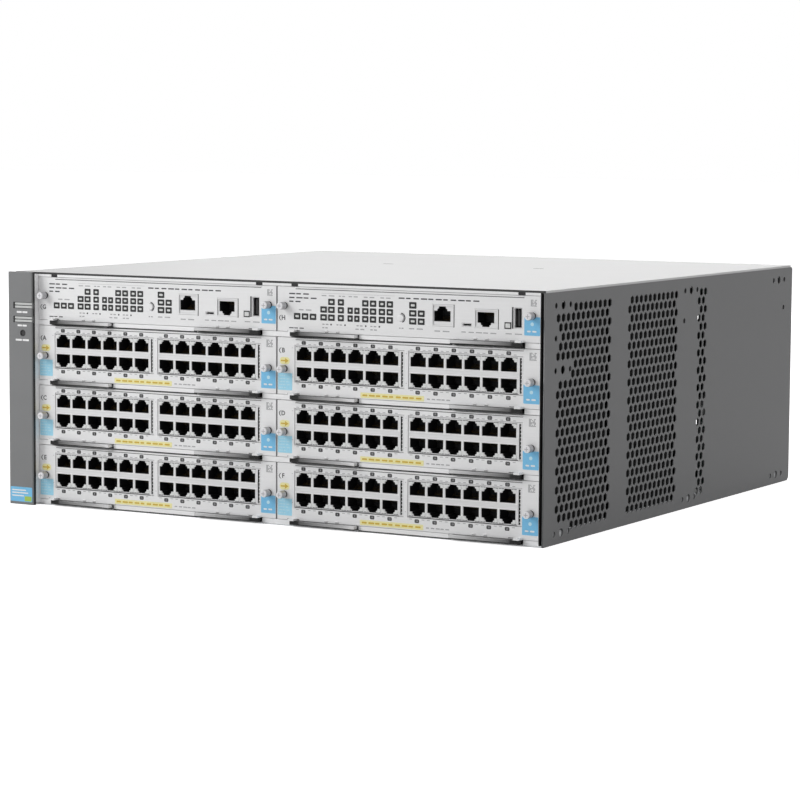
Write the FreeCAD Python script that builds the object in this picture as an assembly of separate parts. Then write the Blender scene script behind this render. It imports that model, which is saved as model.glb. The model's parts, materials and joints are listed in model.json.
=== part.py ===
import FreeCAD, Part
import math
import os
from FreeCAD import Vector

# A four-unit modular chassis switch: a folded sheet-metal chassis with a card cage for six line
# modules and two management modules at the front, and a fan tray and two power supplies at the
# rear.  Millimetres, +Z up, front towards -Y.  The model is drawn with X = 0 at the left side
# panel, Y = 0 at the module faces and Z = 0 under the base, and is centred when it is written.

# ---- chassis ---------------------------------------------------------------------------------
CHASSIS_W = 443.0          # over the two side panels
CHASSIS_H = 174.0          # base to top cover
CHASSIS_D = 439.5          # module faces to rear panel
SHEET = 1.2                # side panels, base and rear panel
COVER_T = 1.5              # top cover
HEM = 9.0                  # folded flanges of base and cover
SEAM = 0.6                 # bevel along the top of each side panel
REAR_CORNER = 4.5          # radius of the side panels' rear corners

# ---- bezel column on the left of the front ---------------------------------------------------
BEZEL_W = 22.4             # plastic bezel
BEZEL_OVERHANG = 1.5       # bezel past the left side panel
BEZEL_PROUD = 8.0          # bezel front past the module faces
BEZEL_T = 3.2              # thickness of the plastic
BEZEL_CHAMFER = 0.8        # along its upright front edges
LIGHT_BAR_DROPS = (24.8, 35.2)   # centres of the two status windows below the top
LIGHT_BAR_H = 4.8
LIGHT_BAR_L = 17.6         # from the bezel's right edge
LIGHT_POCKET = 1.4         # depth of a status window
LIGHT_PIPE_H = 1.6         # each of the two light pipes in a window
LIGHT_PIPE_STEP = 2.4      # between their middles
LIGHT_PIPE_INSET = 1.0     # pipe ends from the window's ends
LIGHT_PIPE_SUNK = 0.7      # pipe front behind the bezel's front
LOCATOR_DROP = 45.4        # locator lens below the top
LOCATOR_X = 12.0
LOCATOR_D = 5.2
LOCATOR_SIDES = 12
LENS_FIT = 0.05            # lens inside its hole, all round
LENS_SUNK = 0.8            # lens behind the bezel's front

# ---- card cage and module bays ---------------------------------------------------------------
CAGE_T = 1.0               # cage side walls
DIVIDER_T = 0.7            # wall between the two columns of modules
SLIDE_GAP = 0.3            # running clearance all round a module
SHELF_T = 1.2
ROWS = 3                   # rows of line modules under the management row
ROW_FLOOR = 0.9            # base of the lowest row
SHELF_SET_BACK = 14.0      # shelf edge behind the module faces, clear of the levers
RAIL_T = 1.2               # front plates under the top cover
RAIL_DROP = 0.35           # shelf below the row's base
GUIDE_W = 6.0              # strips that carry a module's tray
MIDPLANE_T = 2.4
PLUG_GAP = 0.4             # module tail to the midplane's connector
PLUG_W = 110.0             # tail connector
PLUG_H = 12.0
PLUG_D = 14.0

# ---- modules ---------------------------------------------------------------------------------
FACE_T = 1.6
FACE_LOW = 3.6             # lower edge of a module face above its row's base
FACE_TOP_GAP = 0.75        # line module face to the next row's base
MGMT_FACE_H = 31.6
TRAY_T = 1.2
TRAY_INSET = 1.2           # tray side from the face's edge
MODULE_D = 248.0           # face to tail
SOCKET_L = 4.0             # midplane connector
LIP_D = 8.0                # folded top edge of a face
BOARD_T = 1.6
BOARD_FRONT = 1.0          # board edge behind the face plate
BOARD_TAIL = 4.0           # board edge short of the module's tail
LEDGE_W = 5.0              # ledges along the tray that the board is screwed to
SCREW_X = 5.9              # captive screw from each end of the face
SCREW_Z = 21.7
SCREW_D = 5.0              # across the knob
SCREW_L = 7.4
KNOB_SIDES = 8

# ---- line module ports -----------------------------------------------------------------------
JACK_FIRST = 21.8          # first jack's axis from the face's left edge
JACK_PITCH = 14.1
JACK_END = 22.0            # least plain face beyond the last jack's axis
BLOCK_GAP = 21.8           # last jack of one block to first of the next
JACK_RISE = 1.8            # between the two rows of jacks, above the face's middle
JACK_ROW_GAP = 4.9         # between upper and lower openings
JACK_W = 12.2
JACK_H = 6.6               # plain part of an opening
NOTCH_H = 3.0              # latch notch
NOTCH_WIDE = 8.2
NOTCH_NARROW = 5.4
JACK_DEPTH = 14.0
BLOCK_MARGIN = 7.3         # block edge from the outer jack's axis
BLOCK_SLOT = 3.6           # spring strip beside the last jack
BLOCK_D = 26.0
BLOCK_RIM = 0.9            # block edge above the notches
BLOCK_INSET = 0.4          # block front behind the face
WINDOW_GAP = 0.3           # between a block and its window

# ---- management module -----------------------------------------------------------------------
LED_PITCH = 5.2            # between the rows of indicator lights
LED_H = 4.4
LED_LOW = 12.3             # lowest light above the row's base
LED_D = 6.0
LED_CLEAR = 3.0            # between the left-hand lights and the mode button
# left edge, right edge and number of rows of each group of lights, from the face's left end
LED_GROUPS = ((13.6, 32.1, 1), (35.4, 40.8, 2), (41.8, 47.2, 3), (49.7, 54.7, 3),
              (57.6, 67.4, 2), (69.4, 80.8, 3), (82.8, 94.2, 3))
# from here on the face is laid out from its right end
LED_RIGHT_GROUPS = ((101.4, 95.6, 3), (94.5, 89.1, 2))
MODE_BUTTON_RIGHT = 107.8
MODE_BUTTON_Z = 16.6
MODE_BUTTON_D = 5.0
BUTTON_GAP = 0.2
BUTTON_PROUD = 0.9
BUTTON_BODY = 7.0
BUTTON_SIDES = 8
NET_RIGHT = 75.2           # axis of the management jack
NET_PORT_Z = 16.4
NET_RECT = (83.4, 66.4, 12.2, 26.9)
CONSOLE_RIGHT = 41.6
CONSOLE_Z = 22.0
CONSOLE_RECT = (50.4, 32.2, 12.2, 24.9)
MICRO_USB_RECT = (60.0, 52.4, 12.7, 15.0)
USB_RECT = (20.4, 13.8, 12.9, 26.9)
AUX_LIGHT_RECT = (27.2, 22.2, 12.3, 16.7)
CONNECTOR_D = 18.0
SOCKET_WALL = 0.8
USB_DEPTH = 12.0

# ---- module levers ---------------------------------------------------------------------------
LEVER_X = 14.4             # pivot from the face's end
LEVER_Y = -2.4             # pivot in front of the face
LEVER_T = 2.7
LEVER_LIFT = 0.6           # lever's underside above the row's base
LEVER_HUB = 2.3            # bar past the pivot
LEVER_L = 52.0             # pivot to grip end
LEVER_BAR = 3.2            # bar depth, front to back
GRIP = 1.3                 # raised finger lip at the grip end
GRIP_L = 9.0
CLAW_REACH = 6.6
CLAW_W = 1.7
PIN_R = 1.3
PIN_GAP = 0.05
HOLE_FLATS = 6             # sides of the pins and of the holes round them
LUG_T = 1.4
LUG_REACH = 5.4
RAIL_END = 11.4            # end plates of a rail, from the face's end
RAIL_MID_GAP = 3.0         # lever grip to the middle plate
TOP_NOTCH = 5.6            # notch beside each end plate under the top cover
TOP_GAP = 2.15             # management face to the top cover

# ---- side panel perforation ------------------------------------------------------------------
VENT_PITCH = 28.0          # between holes along a row
VENT_AF = 21.4             # across the flats of a hexagonal hole
VENT_LOW = 18.0
VENT_TOP = 13.0            # plain metal under the top edge
VENT_KEEP_OFF = 12.0       # plain metal around the bracket holes
VENT_FIELDS = ((17.4, 103.3), (131.0, 216.8), (252.0, 276.0))
BRACKET_FRONT = 27.4       # middles of the bracket hole groups
BRACKET_MIDDLE = 240.6
BRACKET_REAR = 27.3        # from the rear panel
BRACKET_DROP = 10.8        # upper row under the top
BRACKET_LOW = 7.2
BRACKET_EXTRA_Z = 119.0    # further front group
BRACKET_PITCH = 11.0       # middle hole to tapped holes
BRACKET_R = 1.75           # tapped holes
BRACKET_MID_R = 2.9        # plain holes between them
HOLE_SIDES = 6

# ---- rear: fan tray and power supplies -------------------------------------------------------
PSU_W = 146.0
PSU_X = 4.4
PSU_Z = 3.0
PSU_SPACING = 2.6          # between the two supplies
PSU_TOP_GAP = 2.9
PSU_NOSE_GAP = 15.1        # supply to the midplane
PSU_NOSE_FLANGE = 9.0      # frame left round the open nose
PSU_WALL = 1.2
REAR_CLEAR = 0.4           # running clearance in the rear openings
REAR_LIP = 3.0             # rear plates outside the rear panel's openings
REAR_PLATE = 1.6
PSU_LIP = 1.0
TRAY_GAP = 5.6             # supplies to the fan tray
TRAY_RIGHT_GAP = 7.0
TRAY_Z = 5.0
TRAY_TOP_GAP = 3.5
TRAY_D = 46.0
FAN_INWARD = 1.0           # fan axes nearer the middle than a quarter of the tray
FAN_BESIDE = 7.0           # blade tips to the plane between the two fans
FAN_TIP_GAP = 2.0
SHROUD_GAP = 2.0           # blade tips to the intake's edge
SHROUD_SIDES = 12
FAN_HUB = 23.0
FAN_HUB_SIDES = 8
FAN_BLADES = 5
FAN_BLADE_T = 1.8
FAN_BLADE_TURN = 42.0      # twist of a blade from the fan's plane
FAN_DEPTH = 22.0
FAN_SHAFT = 3.0
FAN_ROOT = 0.9             # blade roots, as a share of the hub's radius
GRILLE_PITCH = 20.0
GRILLE_SLOT = 13.0
PSU_FAN_R = 30.0
PSU_FAN_HUB = 12.0
PSU_FAN_X = 40.0
HANDLE_REACH = 24.0
HANDLE_BAR = 7.0
TRAY_HANDLE_L = 70.0
PSU_HANDLE_X = 82.0        # left end of a supply's handle
PSU_HANDLE_L = 38.0
PSU_HANDLE_DROP = 22.0     # handle and latch pin under the supply's top
INLET_W = 27.2
INLET_H = 19.8
INLET_DEPTH = 16.0
INLET_X = 112.0
INLET_Z = 20.0
INLET_WALL = 2.0
INLET_PROUD = 0.8          # inlet rim past the rear plate
BLADE_W = 2.0
BLADE_H = 4.0
BLADE_SUNK = 3.0           # blade tips inside the inlet
BLADE_PLACES = ((0.25, 0.6), (0.5, 0.35), (0.75, 0.6))   # shares of the inlet's width and height
LATCH_W = 12.0
LATCH_L = 18.0             # pin to thumb lip
LATCH_T = 2.0
LATCH_X = 132.0
LATCH_PIN = 1.2
LATCH_HUB = 1.8            # hub wall round the pin
LATCH_STAND = 4.2          # pin's axis off the rear plate
LATCH_LIP = 5.0            # thumb lip
EAR_T = 1.6
EAR_GAP = 0.4
EAR_HALF = 3.0             # ear edge from the pin's axis

# ---- values that follow from those above ------------------------------------------------------
INSIDE_X0 = SHEET
INSIDE_X1 = CHASSIS_W - SHEET
COVER_LOW = CHASSIS_H - COVER_T
LIGHT_BAR_Z = [CHASSIS_H - drop for drop in LIGHT_BAR_DROPS]
LOCATOR_Z = CHASSIS_H - LOCATOR_DROP
BEZEL_X0 = -BEZEL_OVERHANG
BEZEL_X1 = BEZEL_X0 + BEZEL_W
MODULE_X0 = BEZEL_X1 + SLIDE_GAP
CAGE_X1 = INSIDE_X1 - SHEET
MODULE_X1 = CAGE_X1 - CAGE_T - SLIDE_GAP
COLUMN_GAP = DIVIDER_T + 2 * SLIDE_GAP
MODULE_W = (MODULE_X1 - MODULE_X0 - COLUMN_GAP) / 2
COLUMN_PITCH = MODULE_W + COLUMN_GAP
CAGE_X0 = MODULE_X0 - SLIDE_GAP - CAGE_T
DIVIDER_X = MODULE_X0 + MODULE_W + SLIDE_GAP
ROW_PITCH = (COVER_LOW - TOP_GAP - MGMT_FACE_H - FACE_LOW - ROW_FLOOR) / ROWS
LINE_FACE_H = ROW_PITCH - FACE_LOW - FACE_TOP_GAP
JACK_MID_Z = FACE_LOW + LINE_FACE_H / 2 + JACK_RISE
JACKS_PER_ROW = 1 + int((MODULE_W - JACK_FIRST - BLOCK_GAP - JACK_END) / (2 * JACK_PITCH))
NET_PORT_X = MODULE_W - NET_RIGHT
CONSOLE_X = MODULE_W - CONSOLE_RIGHT
MODE_BUTTON_X = MODULE_W - MODE_BUTTON_RIGHT
NET_WINDOW, CONSOLE_WINDOW, MICRO_USB, USB, AUX_LIGHT = [
    (MODULE_W - far, MODULE_W - near, low, high)
    for far, near, low, high in (NET_RECT, CONSOLE_RECT, MICRO_USB_RECT, USB_RECT,
                                 AUX_LIGHT_RECT)]
CAGE_D = MODULE_D + SOCKET_L
BRACKET_Y = (BRACKET_FRONT, BRACKET_MIDDLE, CHASSIS_D - BRACKET_REAR)
BRACKET_Z = (CHASSIS_H - BRACKET_DROP, BRACKET_LOW)
PSU_H = (COVER_LOW - PSU_Z - PSU_TOP_GAP - PSU_SPACING) / 2
PSU_PITCH = PSU_H + PSU_SPACING
PSU_D = CHASSIS_D - CAGE_D - MIDPLANE_T - PSU_NOSE_GAP
LATCH_Z = PSU_H - PSU_HANDLE_DROP
TRAY_X = PSU_X + PSU_W + TRAY_GAP
TRAY_W = CHASSIS_W - TRAY_X - TRAY_RIGHT_GAP
TRAY_H = COVER_LOW - TRAY_Z - TRAY_TOP_GAP
FAN_PITCH = TRAY_W / 2 - 2 * FAN_INWARD
FAN_R = FAN_PITCH / 2 - FAN_BESIDE
HANDLE_Y1 = CHASSIS_D + REAR_PLATE + HANDLE_REACH
CENTRE_X = (BEZEL_X0 + CHASSIS_W) / 2
CENTRE_Y = (HANDLE_Y1 - BEZEL_PROUD) / 2


# ---- construction helpers --------------------------------------------------------------------
def box(x0, x1, y0, y1, z0, z1):
    return Part.makeBox(x1 - x0, y1 - y0, z1 - z0, Vector(x0, y0, z0))


def rod(x, y, z, radius, length, along):
    return Part.makeCylinder(radius, length, Vector(x, y, z), along)


def fuse(shapes):
    shapes = list(shapes)
    joined = shapes[0].fuse(shapes[1:]) if len(shapes) > 1 else shapes[0]
    return joined.removeSplitter()


def group(shapes):
    return Part.makeCompound(list(shapes))


def closed_wire(points):
    return Part.makePolygon(points + points[:1])


def plate(outline, openings, thickness):
    """A flat plate along the sweep vector, with an opening for each inner wire."""
    face = Part.makeFace([outline] + openings, "Part::FaceMakerBullseye")
    return face.extrude(thickness)


def front_wire(points, y):
    return closed_wire([Vector(x, y, z) for x, z in points])


def front_rect(x0, x1, z0, z1, y):
    return front_wire([(x0, z0), (x1, z0), (x1, z1), (x0, z1)], y)


def circle_wire(x, y, z, radius, normal):
    return Part.Wire([Part.makeCircle(radius, Vector(x, y, z), normal)])


def plan_prism(points, z0, z1):
    outline = closed_wire([Vector(x, y, z0) for x, y in points])
    return plate(outline, [], Vector(0, 0, z1 - z0))


def mirrored(shape, x):
    return shape.mirror(Vector(x, 0, 0), Vector(1, 0, 0))


def ring(sides):
    """Directions to the corners of an upright regular polygon."""
    angles = [2 * math.pi * (i + 0.5) / sides for i in range(sides)]
    return [(math.cos(a), math.sin(a)) for a in angles]


FORWARD = Vector(0, -1, 0)
BACK = Vector(0, 1, 0)
UP = Vector(0, 0, 1)


# ---- chassis sheet metal ---------------------------------------------------------------------
def vent_centres():
    """Staggered rows of hexagons inside each field, leaving metal round the bracket holes."""
    middles = plain_holes()
    keep_off = middles + [(y + side * BRACKET_PITCH, z) for y, z in middles for side in (-1, 1)]
    row_pitch = VENT_PITCH * math.sqrt(3) / 2
    rows = int((COVER_LOW - VENT_TOP - VENT_LOW) / row_pitch) + 1
    centres = []
    for first, last in VENT_FIELDS:
        for row in range(rows):
            z = VENT_LOW + row * row_pitch
            y = first + VENT_AF / 2 + (row % 2) * VENT_PITCH / 2
            while y + VENT_AF / 2 <= last:
                if all(math.hypot(y - hy, z - hz) > VENT_KEEP_OFF for hy, hz in keep_off):
                    centres.append((y, z))
                y += VENT_PITCH
    return centres


def rail_holes():
    """Tapped holes for the front rack bracket as (y, z)."""
    return [(BRACKET_Y[0] + side * BRACKET_PITCH, z)
            for side in (-1, 1) for z in (BRACKET_Z[0], BRACKET_EXTRA_Z)]


def plain_holes():
    """The wide plain hole amid each bracket group as (y, z)."""
    return [(y, z) for y in BRACKET_Y for z in BRACKET_Z] + [(BRACKET_Y[0], BRACKET_EXTRA_Z)]


def side_polygon(x, y, z, radius, sides):
    return closed_wire([Vector(x, y + radius * c, z + radius * s) for c, s in ring(sides)])


def side_outline(x):
    """Panel outline with both rear corners rounded."""
    r = REAR_CORNER
    k = r * (1 - math.sqrt(0.5))
    top = COVER_LOW
    y1 = CHASSIS_D
    p = [Vector(x, 0, 0), Vector(x, y1 - r, 0), Vector(x, y1, r), Vector(x, y1, top - r),
         Vector(x, y1 - r, top), Vector(x, 0, top)]
    low_arc = Part.Arc(p[1], Vector(x, y1 - k, k), p[2])
    high_arc = Part.Arc(p[3], Vector(x, y1 - k, top - k), p[4])
    edges = [Part.LineSegment(p[0], p[1]), low_arc, Part.LineSegment(p[2], p[3]), high_arc,
             Part.LineSegment(p[4], p[5]), Part.LineSegment(p[5], p[0])]
    return Part.Wire([edge.toShape() for edge in edges])


def side_panel_right():
    """Flat perforated side with a bevel where the top cover's seam runs."""
    x = INSIDE_X1
    holes = [side_polygon(x, y, z, VENT_AF / math.sqrt(3), 6) for y, z in vent_centres()]
    holes += [side_polygon(x, y, z, BRACKET_MID_R, HOLE_SIDES) for y, z in plain_holes()]
    holes += [circle_wire(x, y, z, BRACKET_R, Vector(1, 0, 0)) for y, z in rail_holes()]
    panel = plate(side_outline(x), holes, Vector(SHEET, 0, 0))
    corner = [Vector(CHASSIS_W, -1, COVER_LOW), Vector(CHASSIS_W - SEAM, -1, COVER_LOW),
              Vector(CHASSIS_W, -1, COVER_LOW - SEAM)]
    bevel = plate(closed_wire(corner), [], Vector(0, CHASSIS_D + 2, 0))
    return panel.cut(bevel)


def side_panel_left():
    return mirrored(side_panel_right(), CHASSIS_W / 2)


def base_pan():
    """Bottom sheet with upturned flanges that the side panels rivet to."""
    floor = box(INSIDE_X0, INSIDE_X1, 0, CHASSIS_D, 0, SHEET)
    left = box(INSIDE_X0, INSIDE_X0 + SHEET, SHELF_SET_BACK, CHASSIS_D - SHEET, 0, HEM)
    right = mirrored(left, CHASSIS_W / 2)
    return fuse([floor, left, right])


def top_cover():
    """Top sheet over both side panels, with flanges down inside them and a front lip."""
    sheet = box(0, CHASSIS_W, 0, CHASSIS_D, COVER_LOW, CHASSIS_H)
    left = box(INSIDE_X0, INSIDE_X0 + SHEET, SHELF_SET_BACK, CHASSIS_D - SHEET,
               CHASSIS_H - HEM, COVER_LOW)
    right = mirrored(left, CHASSIS_W / 2)
    corner = Part.makeBox(REAR_CORNER, REAR_CORNER, COVER_T,
                          Vector(CHASSIS_W - REAR_CORNER, CHASSIS_D - REAR_CORNER, COVER_LOW))
    round_off = rod(CHASSIS_W - REAR_CORNER, CHASSIS_D - REAR_CORNER, COVER_LOW, REAR_CORNER,
                    COVER_T, UP)
    nick = corner.cut(round_off)
    return fuse([sheet, left, right]).cut(nick).cut(mirrored(nick, CHASSIS_W / 2))


def rear_panel():
    """Rear sheet between the side panels, with openings for the fan tray and power supplies."""
    y = CHASSIS_D - SHEET
    gap = REAR_CLEAR
    outline = front_rect(INSIDE_X0, INSIDE_X1, SHEET, COVER_LOW, y)
    openings = [front_rect(PSU_X - gap, PSU_X + PSU_W + gap, z - gap, z + PSU_H + gap, y)
                for z in psu_floors()]
    openings.append(front_rect(TRAY_X - gap, TRAY_X + TRAY_W + gap, TRAY_Z - gap,
                               TRAY_Z + TRAY_H + gap, y))
    return plate(outline, openings, Vector(0, SHEET, 0))


# ---- card cage -------------------------------------------------------------------------------
def row_floor(row):
    return ROW_FLOOR + row * ROW_PITCH


def module_left(column):
    return MODULE_X0 + column * COLUMN_PITCH


def shelf_floor(row):
    """Underside of the shelf below one row; the lowest lies on the base pan."""
    return max(row_floor(row) - RAIL_DROP, SHEET)


def rail_blocks(row):
    """Front rail under one row: ends, centre and the stretch between the lever grips."""
    z0 = shelf_floor(row)
    z1 = row_floor(row) + FACE_LOW - SLIDE_GAP
    left = module_left(0)
    right = module_left(1)
    spans = [(CAGE_X0, left + RAIL_END), (left + MODULE_W - RAIL_END, right + RAIL_END),
             (right + MODULE_W - RAIL_END, CAGE_X1)]
    reach = LEVER_X + LEVER_L + RAIL_MID_GAP
    spans += [(x + reach, x + MODULE_W - reach) for x in (left, right)]
    return [box(x0, x1, 0, SHELF_SET_BACK, z0, z1) for x0, x1 in spans]


def top_plates():
    """Front plates between the management faces and the top cover."""
    z0 = row_floor(ROWS) + FACE_LOW + MGMT_FACE_H + SLIDE_GAP
    left = module_left(0)
    right = module_left(1)
    spans = [(CAGE_X0, left + RAIL_END), (left + MODULE_W - RAIL_END, right + RAIL_END),
             (right + MODULE_W - RAIL_END, CAGE_X1)]
    inset = RAIL_END + TOP_NOTCH
    spans += [(x + inset, x + MODULE_W - inset) for x in (left, right)]
    plates = [box(x0, x1, 0, RAIL_T, z0, COVER_LOW) for x0, x1 in spans]
    tie = box(CAGE_X0, CAGE_X1, RAIL_T, 2 * RAIL_T, z0, COVER_LOW)
    return plates + [tie]


def guide_strips(row):
    """Strips along both sides of each bay that carry a module's tray."""
    z0 = shelf_floor(row)
    z1 = row_floor(row) + FACE_LOW - SLIDE_GAP
    strips = []
    for column in range(2):
        left = module_left(column)
        for x in (left + TRAY_INSET, left + MODULE_W - TRAY_INSET - GUIDE_W):
            strips.append(box(x, x + GUIDE_W, SHELF_SET_BACK, CAGE_D, z0, z1))
    return strips


def card_cage():
    """Walls, shelves, guides and front rails that hold the eight modules."""
    top = COVER_LOW
    walls = [box(CAGE_X0, CAGE_X0 + CAGE_T, 0, CAGE_D, SHEET, top),
             box(CAGE_X1 - CAGE_T, CAGE_X1, 0, CAGE_D, SHEET, top),
             box(DIVIDER_X, DIVIDER_X + DIVIDER_T, RAIL_T, CAGE_D, SHEET, top)]
    parts = list(walls) + top_plates()
    for row in range(ROWS + 1):
        z0 = shelf_floor(row)
        parts.append(box(CAGE_X0, CAGE_X1, SHELF_SET_BACK, CAGE_D, z0, z0 + SHELF_T))
        parts += rail_blocks(row)
        parts += guide_strips(row)
    # folded column that carries the plastic bezel
    column = box(0, BEZEL_X1, -BEZEL_PROUD + BEZEL_T, 0, SHEET, top)
    hollow = box(SHEET, BEZEL_X1 - CAGE_T, -BEZEL_PROUD + BEZEL_T + SHEET, 1,
                 2 * SHEET, top - SHEET)
    side = box(INSIDE_X0, CAGE_X0, 0, RAIL_T, SHEET, top)
    parts += [column.cut(hollow), side]
    return fuse(parts)


def midplane():
    """Circuit board across the cage's tail with a connector for each module."""
    y = CAGE_D
    parts = [box(CAGE_X0, CAGE_X1, y, y + MIDPLANE_T, 2 * SHEET, COVER_LOW - SHEET)]
    tops = [block_heights()[0]] * ROWS + [NET_WINDOW[2]]
    for row, top in enumerate(tops):
        for column in range(2):
            x = module_left(column) + (MODULE_W - PLUG_W) / 2
            z = row_floor(row) + top
            parts.append(box(x, x + PLUG_W, MODULE_D + PLUG_GAP, y, z, z + PLUG_H - BOARD_T))
    return fuse(parts)


# ---- bezel and status lights -----------------------------------------------------------------
def locator_prism(radius, y, depth):
    rim = [(LOCATOR_X + radius * c, LOCATOR_Z + radius * s) for c, s in ring(LOCATOR_SIDES)]
    return plate(front_wire(rim, y), [], BACK * depth)


def front_bezel():
    """Moulded strip with rounded front edges, two status windows and the locator's hole."""
    y0 = -BEZEL_PROUD
    body = box(BEZEL_X0, BEZEL_X1, y0, y0 + BEZEL_T, 0, CHASSIS_H)
    upright = [edge for edge in body.Edges
               if abs(edge.CenterOfMass.y - y0) < 0.01 and edge.Length > CHASSIS_H / 2]
    body = body.makeChamfer(BEZEL_CHAMFER, upright)
    for z in LIGHT_BAR_Z:
        body = body.cut(box(BEZEL_X1 - LIGHT_BAR_L, BEZEL_X1 + 1, y0 - 1, y0 + LIGHT_POCKET,
                            z - LIGHT_BAR_H / 2, z + LIGHT_BAR_H / 2))
    return body.cut(locator_prism(LOCATOR_D / 2, y0 - 1, BEZEL_T + 2))


def status_lights():
    """Light pipes: two bars in each status window and the locator's round lens."""
    front = -BEZEL_PROUD
    x0 = BEZEL_X1 - LIGHT_BAR_L + LIGHT_PIPE_INSET
    x1 = BEZEL_X1 - LIGHT_PIPE_INSET
    pieces = []
    for window in LIGHT_BAR_Z:
        for middle in (window - LIGHT_PIPE_STEP / 2, window + LIGHT_PIPE_STEP / 2):
            pieces.append(box(x0, x1, front + LIGHT_PIPE_SUNK, front + LIGHT_POCKET,
                              middle - LIGHT_PIPE_H / 2, middle + LIGHT_PIPE_H / 2))
    pieces.append(locator_prism(LOCATOR_D / 2 - LENS_FIT, front + LENS_SUNK, BEZEL_T - LENS_SUNK))
    return group(pieces)


# ---- pieces that every module has ------------------------------------------------------------
def captive_screw(x, z):
    """Many-sided knob standing out of the face."""
    rim = [(x + SCREW_D / 2 * c, z + SCREW_D / 2 * s) for c, s in ring(KNOB_SIDES)]
    return plate(front_wire(rim, 0), [], FORWARD * SCREW_L)


def lever_lug(x):
    """Plate in front of the face's lower edge with the pin that a lever turns on."""
    shelf = box(x - LEVER_HUB, x + LEVER_HUB, -LUG_REACH, FACE_T, FACE_LOW, FACE_LOW + LUG_T)
    rim = [(x + PIN_R * c, LEVER_Y + PIN_R * s) for c, s in ring(HOLE_FLATS)]
    return [shelf, plan_prism(rim, LEVER_LIFT, FACE_LOW)]


def carrier(face_height, windows, board_top):
    """Face plate with folded top edge, tray with a ledge along each side, and hardware."""
    z1 = FACE_LOW + face_height
    outline = front_rect(0, MODULE_W, FACE_LOW, z1, 0)
    face = plate(outline, windows, Vector(0, FACE_T, 0))
    x0 = TRAY_INSET
    x1 = MODULE_W - TRAY_INSET
    lip = box(x0, x1, 0, LIP_D, z1 - TRAY_T, z1)
    tray = box(x0, x1, 0, MODULE_D, FACE_LOW, FACE_LOW + TRAY_T)
    ledge = box(x0, x0 + LEDGE_W, FACE_T / 2, MODULE_D, FACE_LOW, board_top - BOARD_T)
    parts = [face, lip, tray, ledge, mirrored(ledge, MODULE_W / 2)]
    for x in (SCREW_X, MODULE_W - SCREW_X):
        parts.append(captive_screw(x, SCREW_Z))
    for x in (LEVER_X, MODULE_W - LEVER_X):
        parts += lever_lug(x)
    return fuse(parts)


def board(board_top):
    """Circuit board on the tray's ledges, with its tail connector."""
    z0 = board_top - BOARD_T
    x0 = TRAY_INSET
    sheet = box(x0, MODULE_W - x0, FACE_T + BOARD_FRONT, MODULE_D - BOARD_TAIL, z0, z0 + BOARD_T)
    x1 = (MODULE_W - PLUG_W) / 2
    tail = box(x1, x1 + PLUG_W, MODULE_D - PLUG_D, MODULE_D, z0, z0 + PLUG_H)
    return fuse([sheet, tail])


def pin_hole(radius):
    """Corners of a hole whose flats run on a round pin."""
    corner = (radius + PIN_GAP) / math.cos(math.pi / HOLE_FLATS)
    return [(corner * c, corner * s) for c, s in ring(HOLE_FLATS)]


def lever_left():
    """Ejector lever closed along the face's lower edge: round hub end, bar, finger lip, claw."""
    z0 = LEVER_LIFT
    x = LEVER_X
    y = LEVER_Y
    tip = x + LEVER_L
    front = y - LEVER_BAR / 2
    back = y + LEVER_BAR / 2
    heel = x - math.sqrt(LEVER_HUB ** 2 - (LEVER_BAR / 2) ** 2)
    claw = y + CLAW_REACH
    outline = [Vector(px, py, z0) for px, py in (
        (heel, front), (tip - GRIP_L, front), (tip, front - GRIP), (tip, back),
        (x + CLAW_W, back), (x + CLAW_W, claw), (x - CLAW_W, claw), (x - CLAW_W, back),
        (heel, back))]
    round_end = Part.Arc(outline[-1], Vector(x - LEVER_HUB, y, z0), outline[0]).toShape()
    rim = Part.Wire(Part.makePolygon(outline).Edges + [round_end])
    hole = closed_wire([Vector(x + c, y + s, z0) for c, s in pin_hole(PIN_R)])
    return plate(rim, [hole], Vector(0, 0, LEVER_T))


def lever_right():
    return mirrored(lever_left(), MODULE_W / 2)


# ---- line module -----------------------------------------------------------------------------
def jack_outline(x, z, sign):
    """A modular jack's opening: a rectangle from z with a tapered latch notch beyond it."""
    side = JACK_W / 2
    wide = NOTCH_WIDE / 2
    narrow = NOTCH_NARROW / 2
    z1 = z + sign * JACK_H
    z2 = z1 + sign * NOTCH_H
    return [(x - side, z), (x - side, z1), (x - wide, z1), (x - narrow, z2), (x + narrow, z2),
            (x + wide, z1), (x + side, z1), (x + side, z)]


def jack_pocket(x, z, sign, y, depth):
    return plate(front_wire(jack_outline(x, z, sign), y), [], Vector(0, depth, 0))


def block_spans():
    """Left and right edges of the two jack blocks, spring strip included."""
    row_length = (JACKS_PER_ROW - 1) * JACK_PITCH
    firsts = (JACK_FIRST, JACK_FIRST + row_length + BLOCK_GAP)
    return [(first, first - BLOCK_MARGIN, first + row_length + BLOCK_MARGIN + BLOCK_SLOT)
            for first in firsts]


def block_heights():
    reach = JACK_ROW_GAP / 2 + JACK_H + NOTCH_H + BLOCK_RIM
    return JACK_MID_Z - reach, JACK_MID_Z + reach


def line_carrier():
    z0, z1 = block_heights()
    gap = WINDOW_GAP
    windows = [front_rect(x0 - gap, x1 + gap, z0 - gap, z1 + gap, 0)
               for first, x0, x1 in block_spans()]
    return carrier(LINE_FACE_H, windows, z0)


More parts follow.
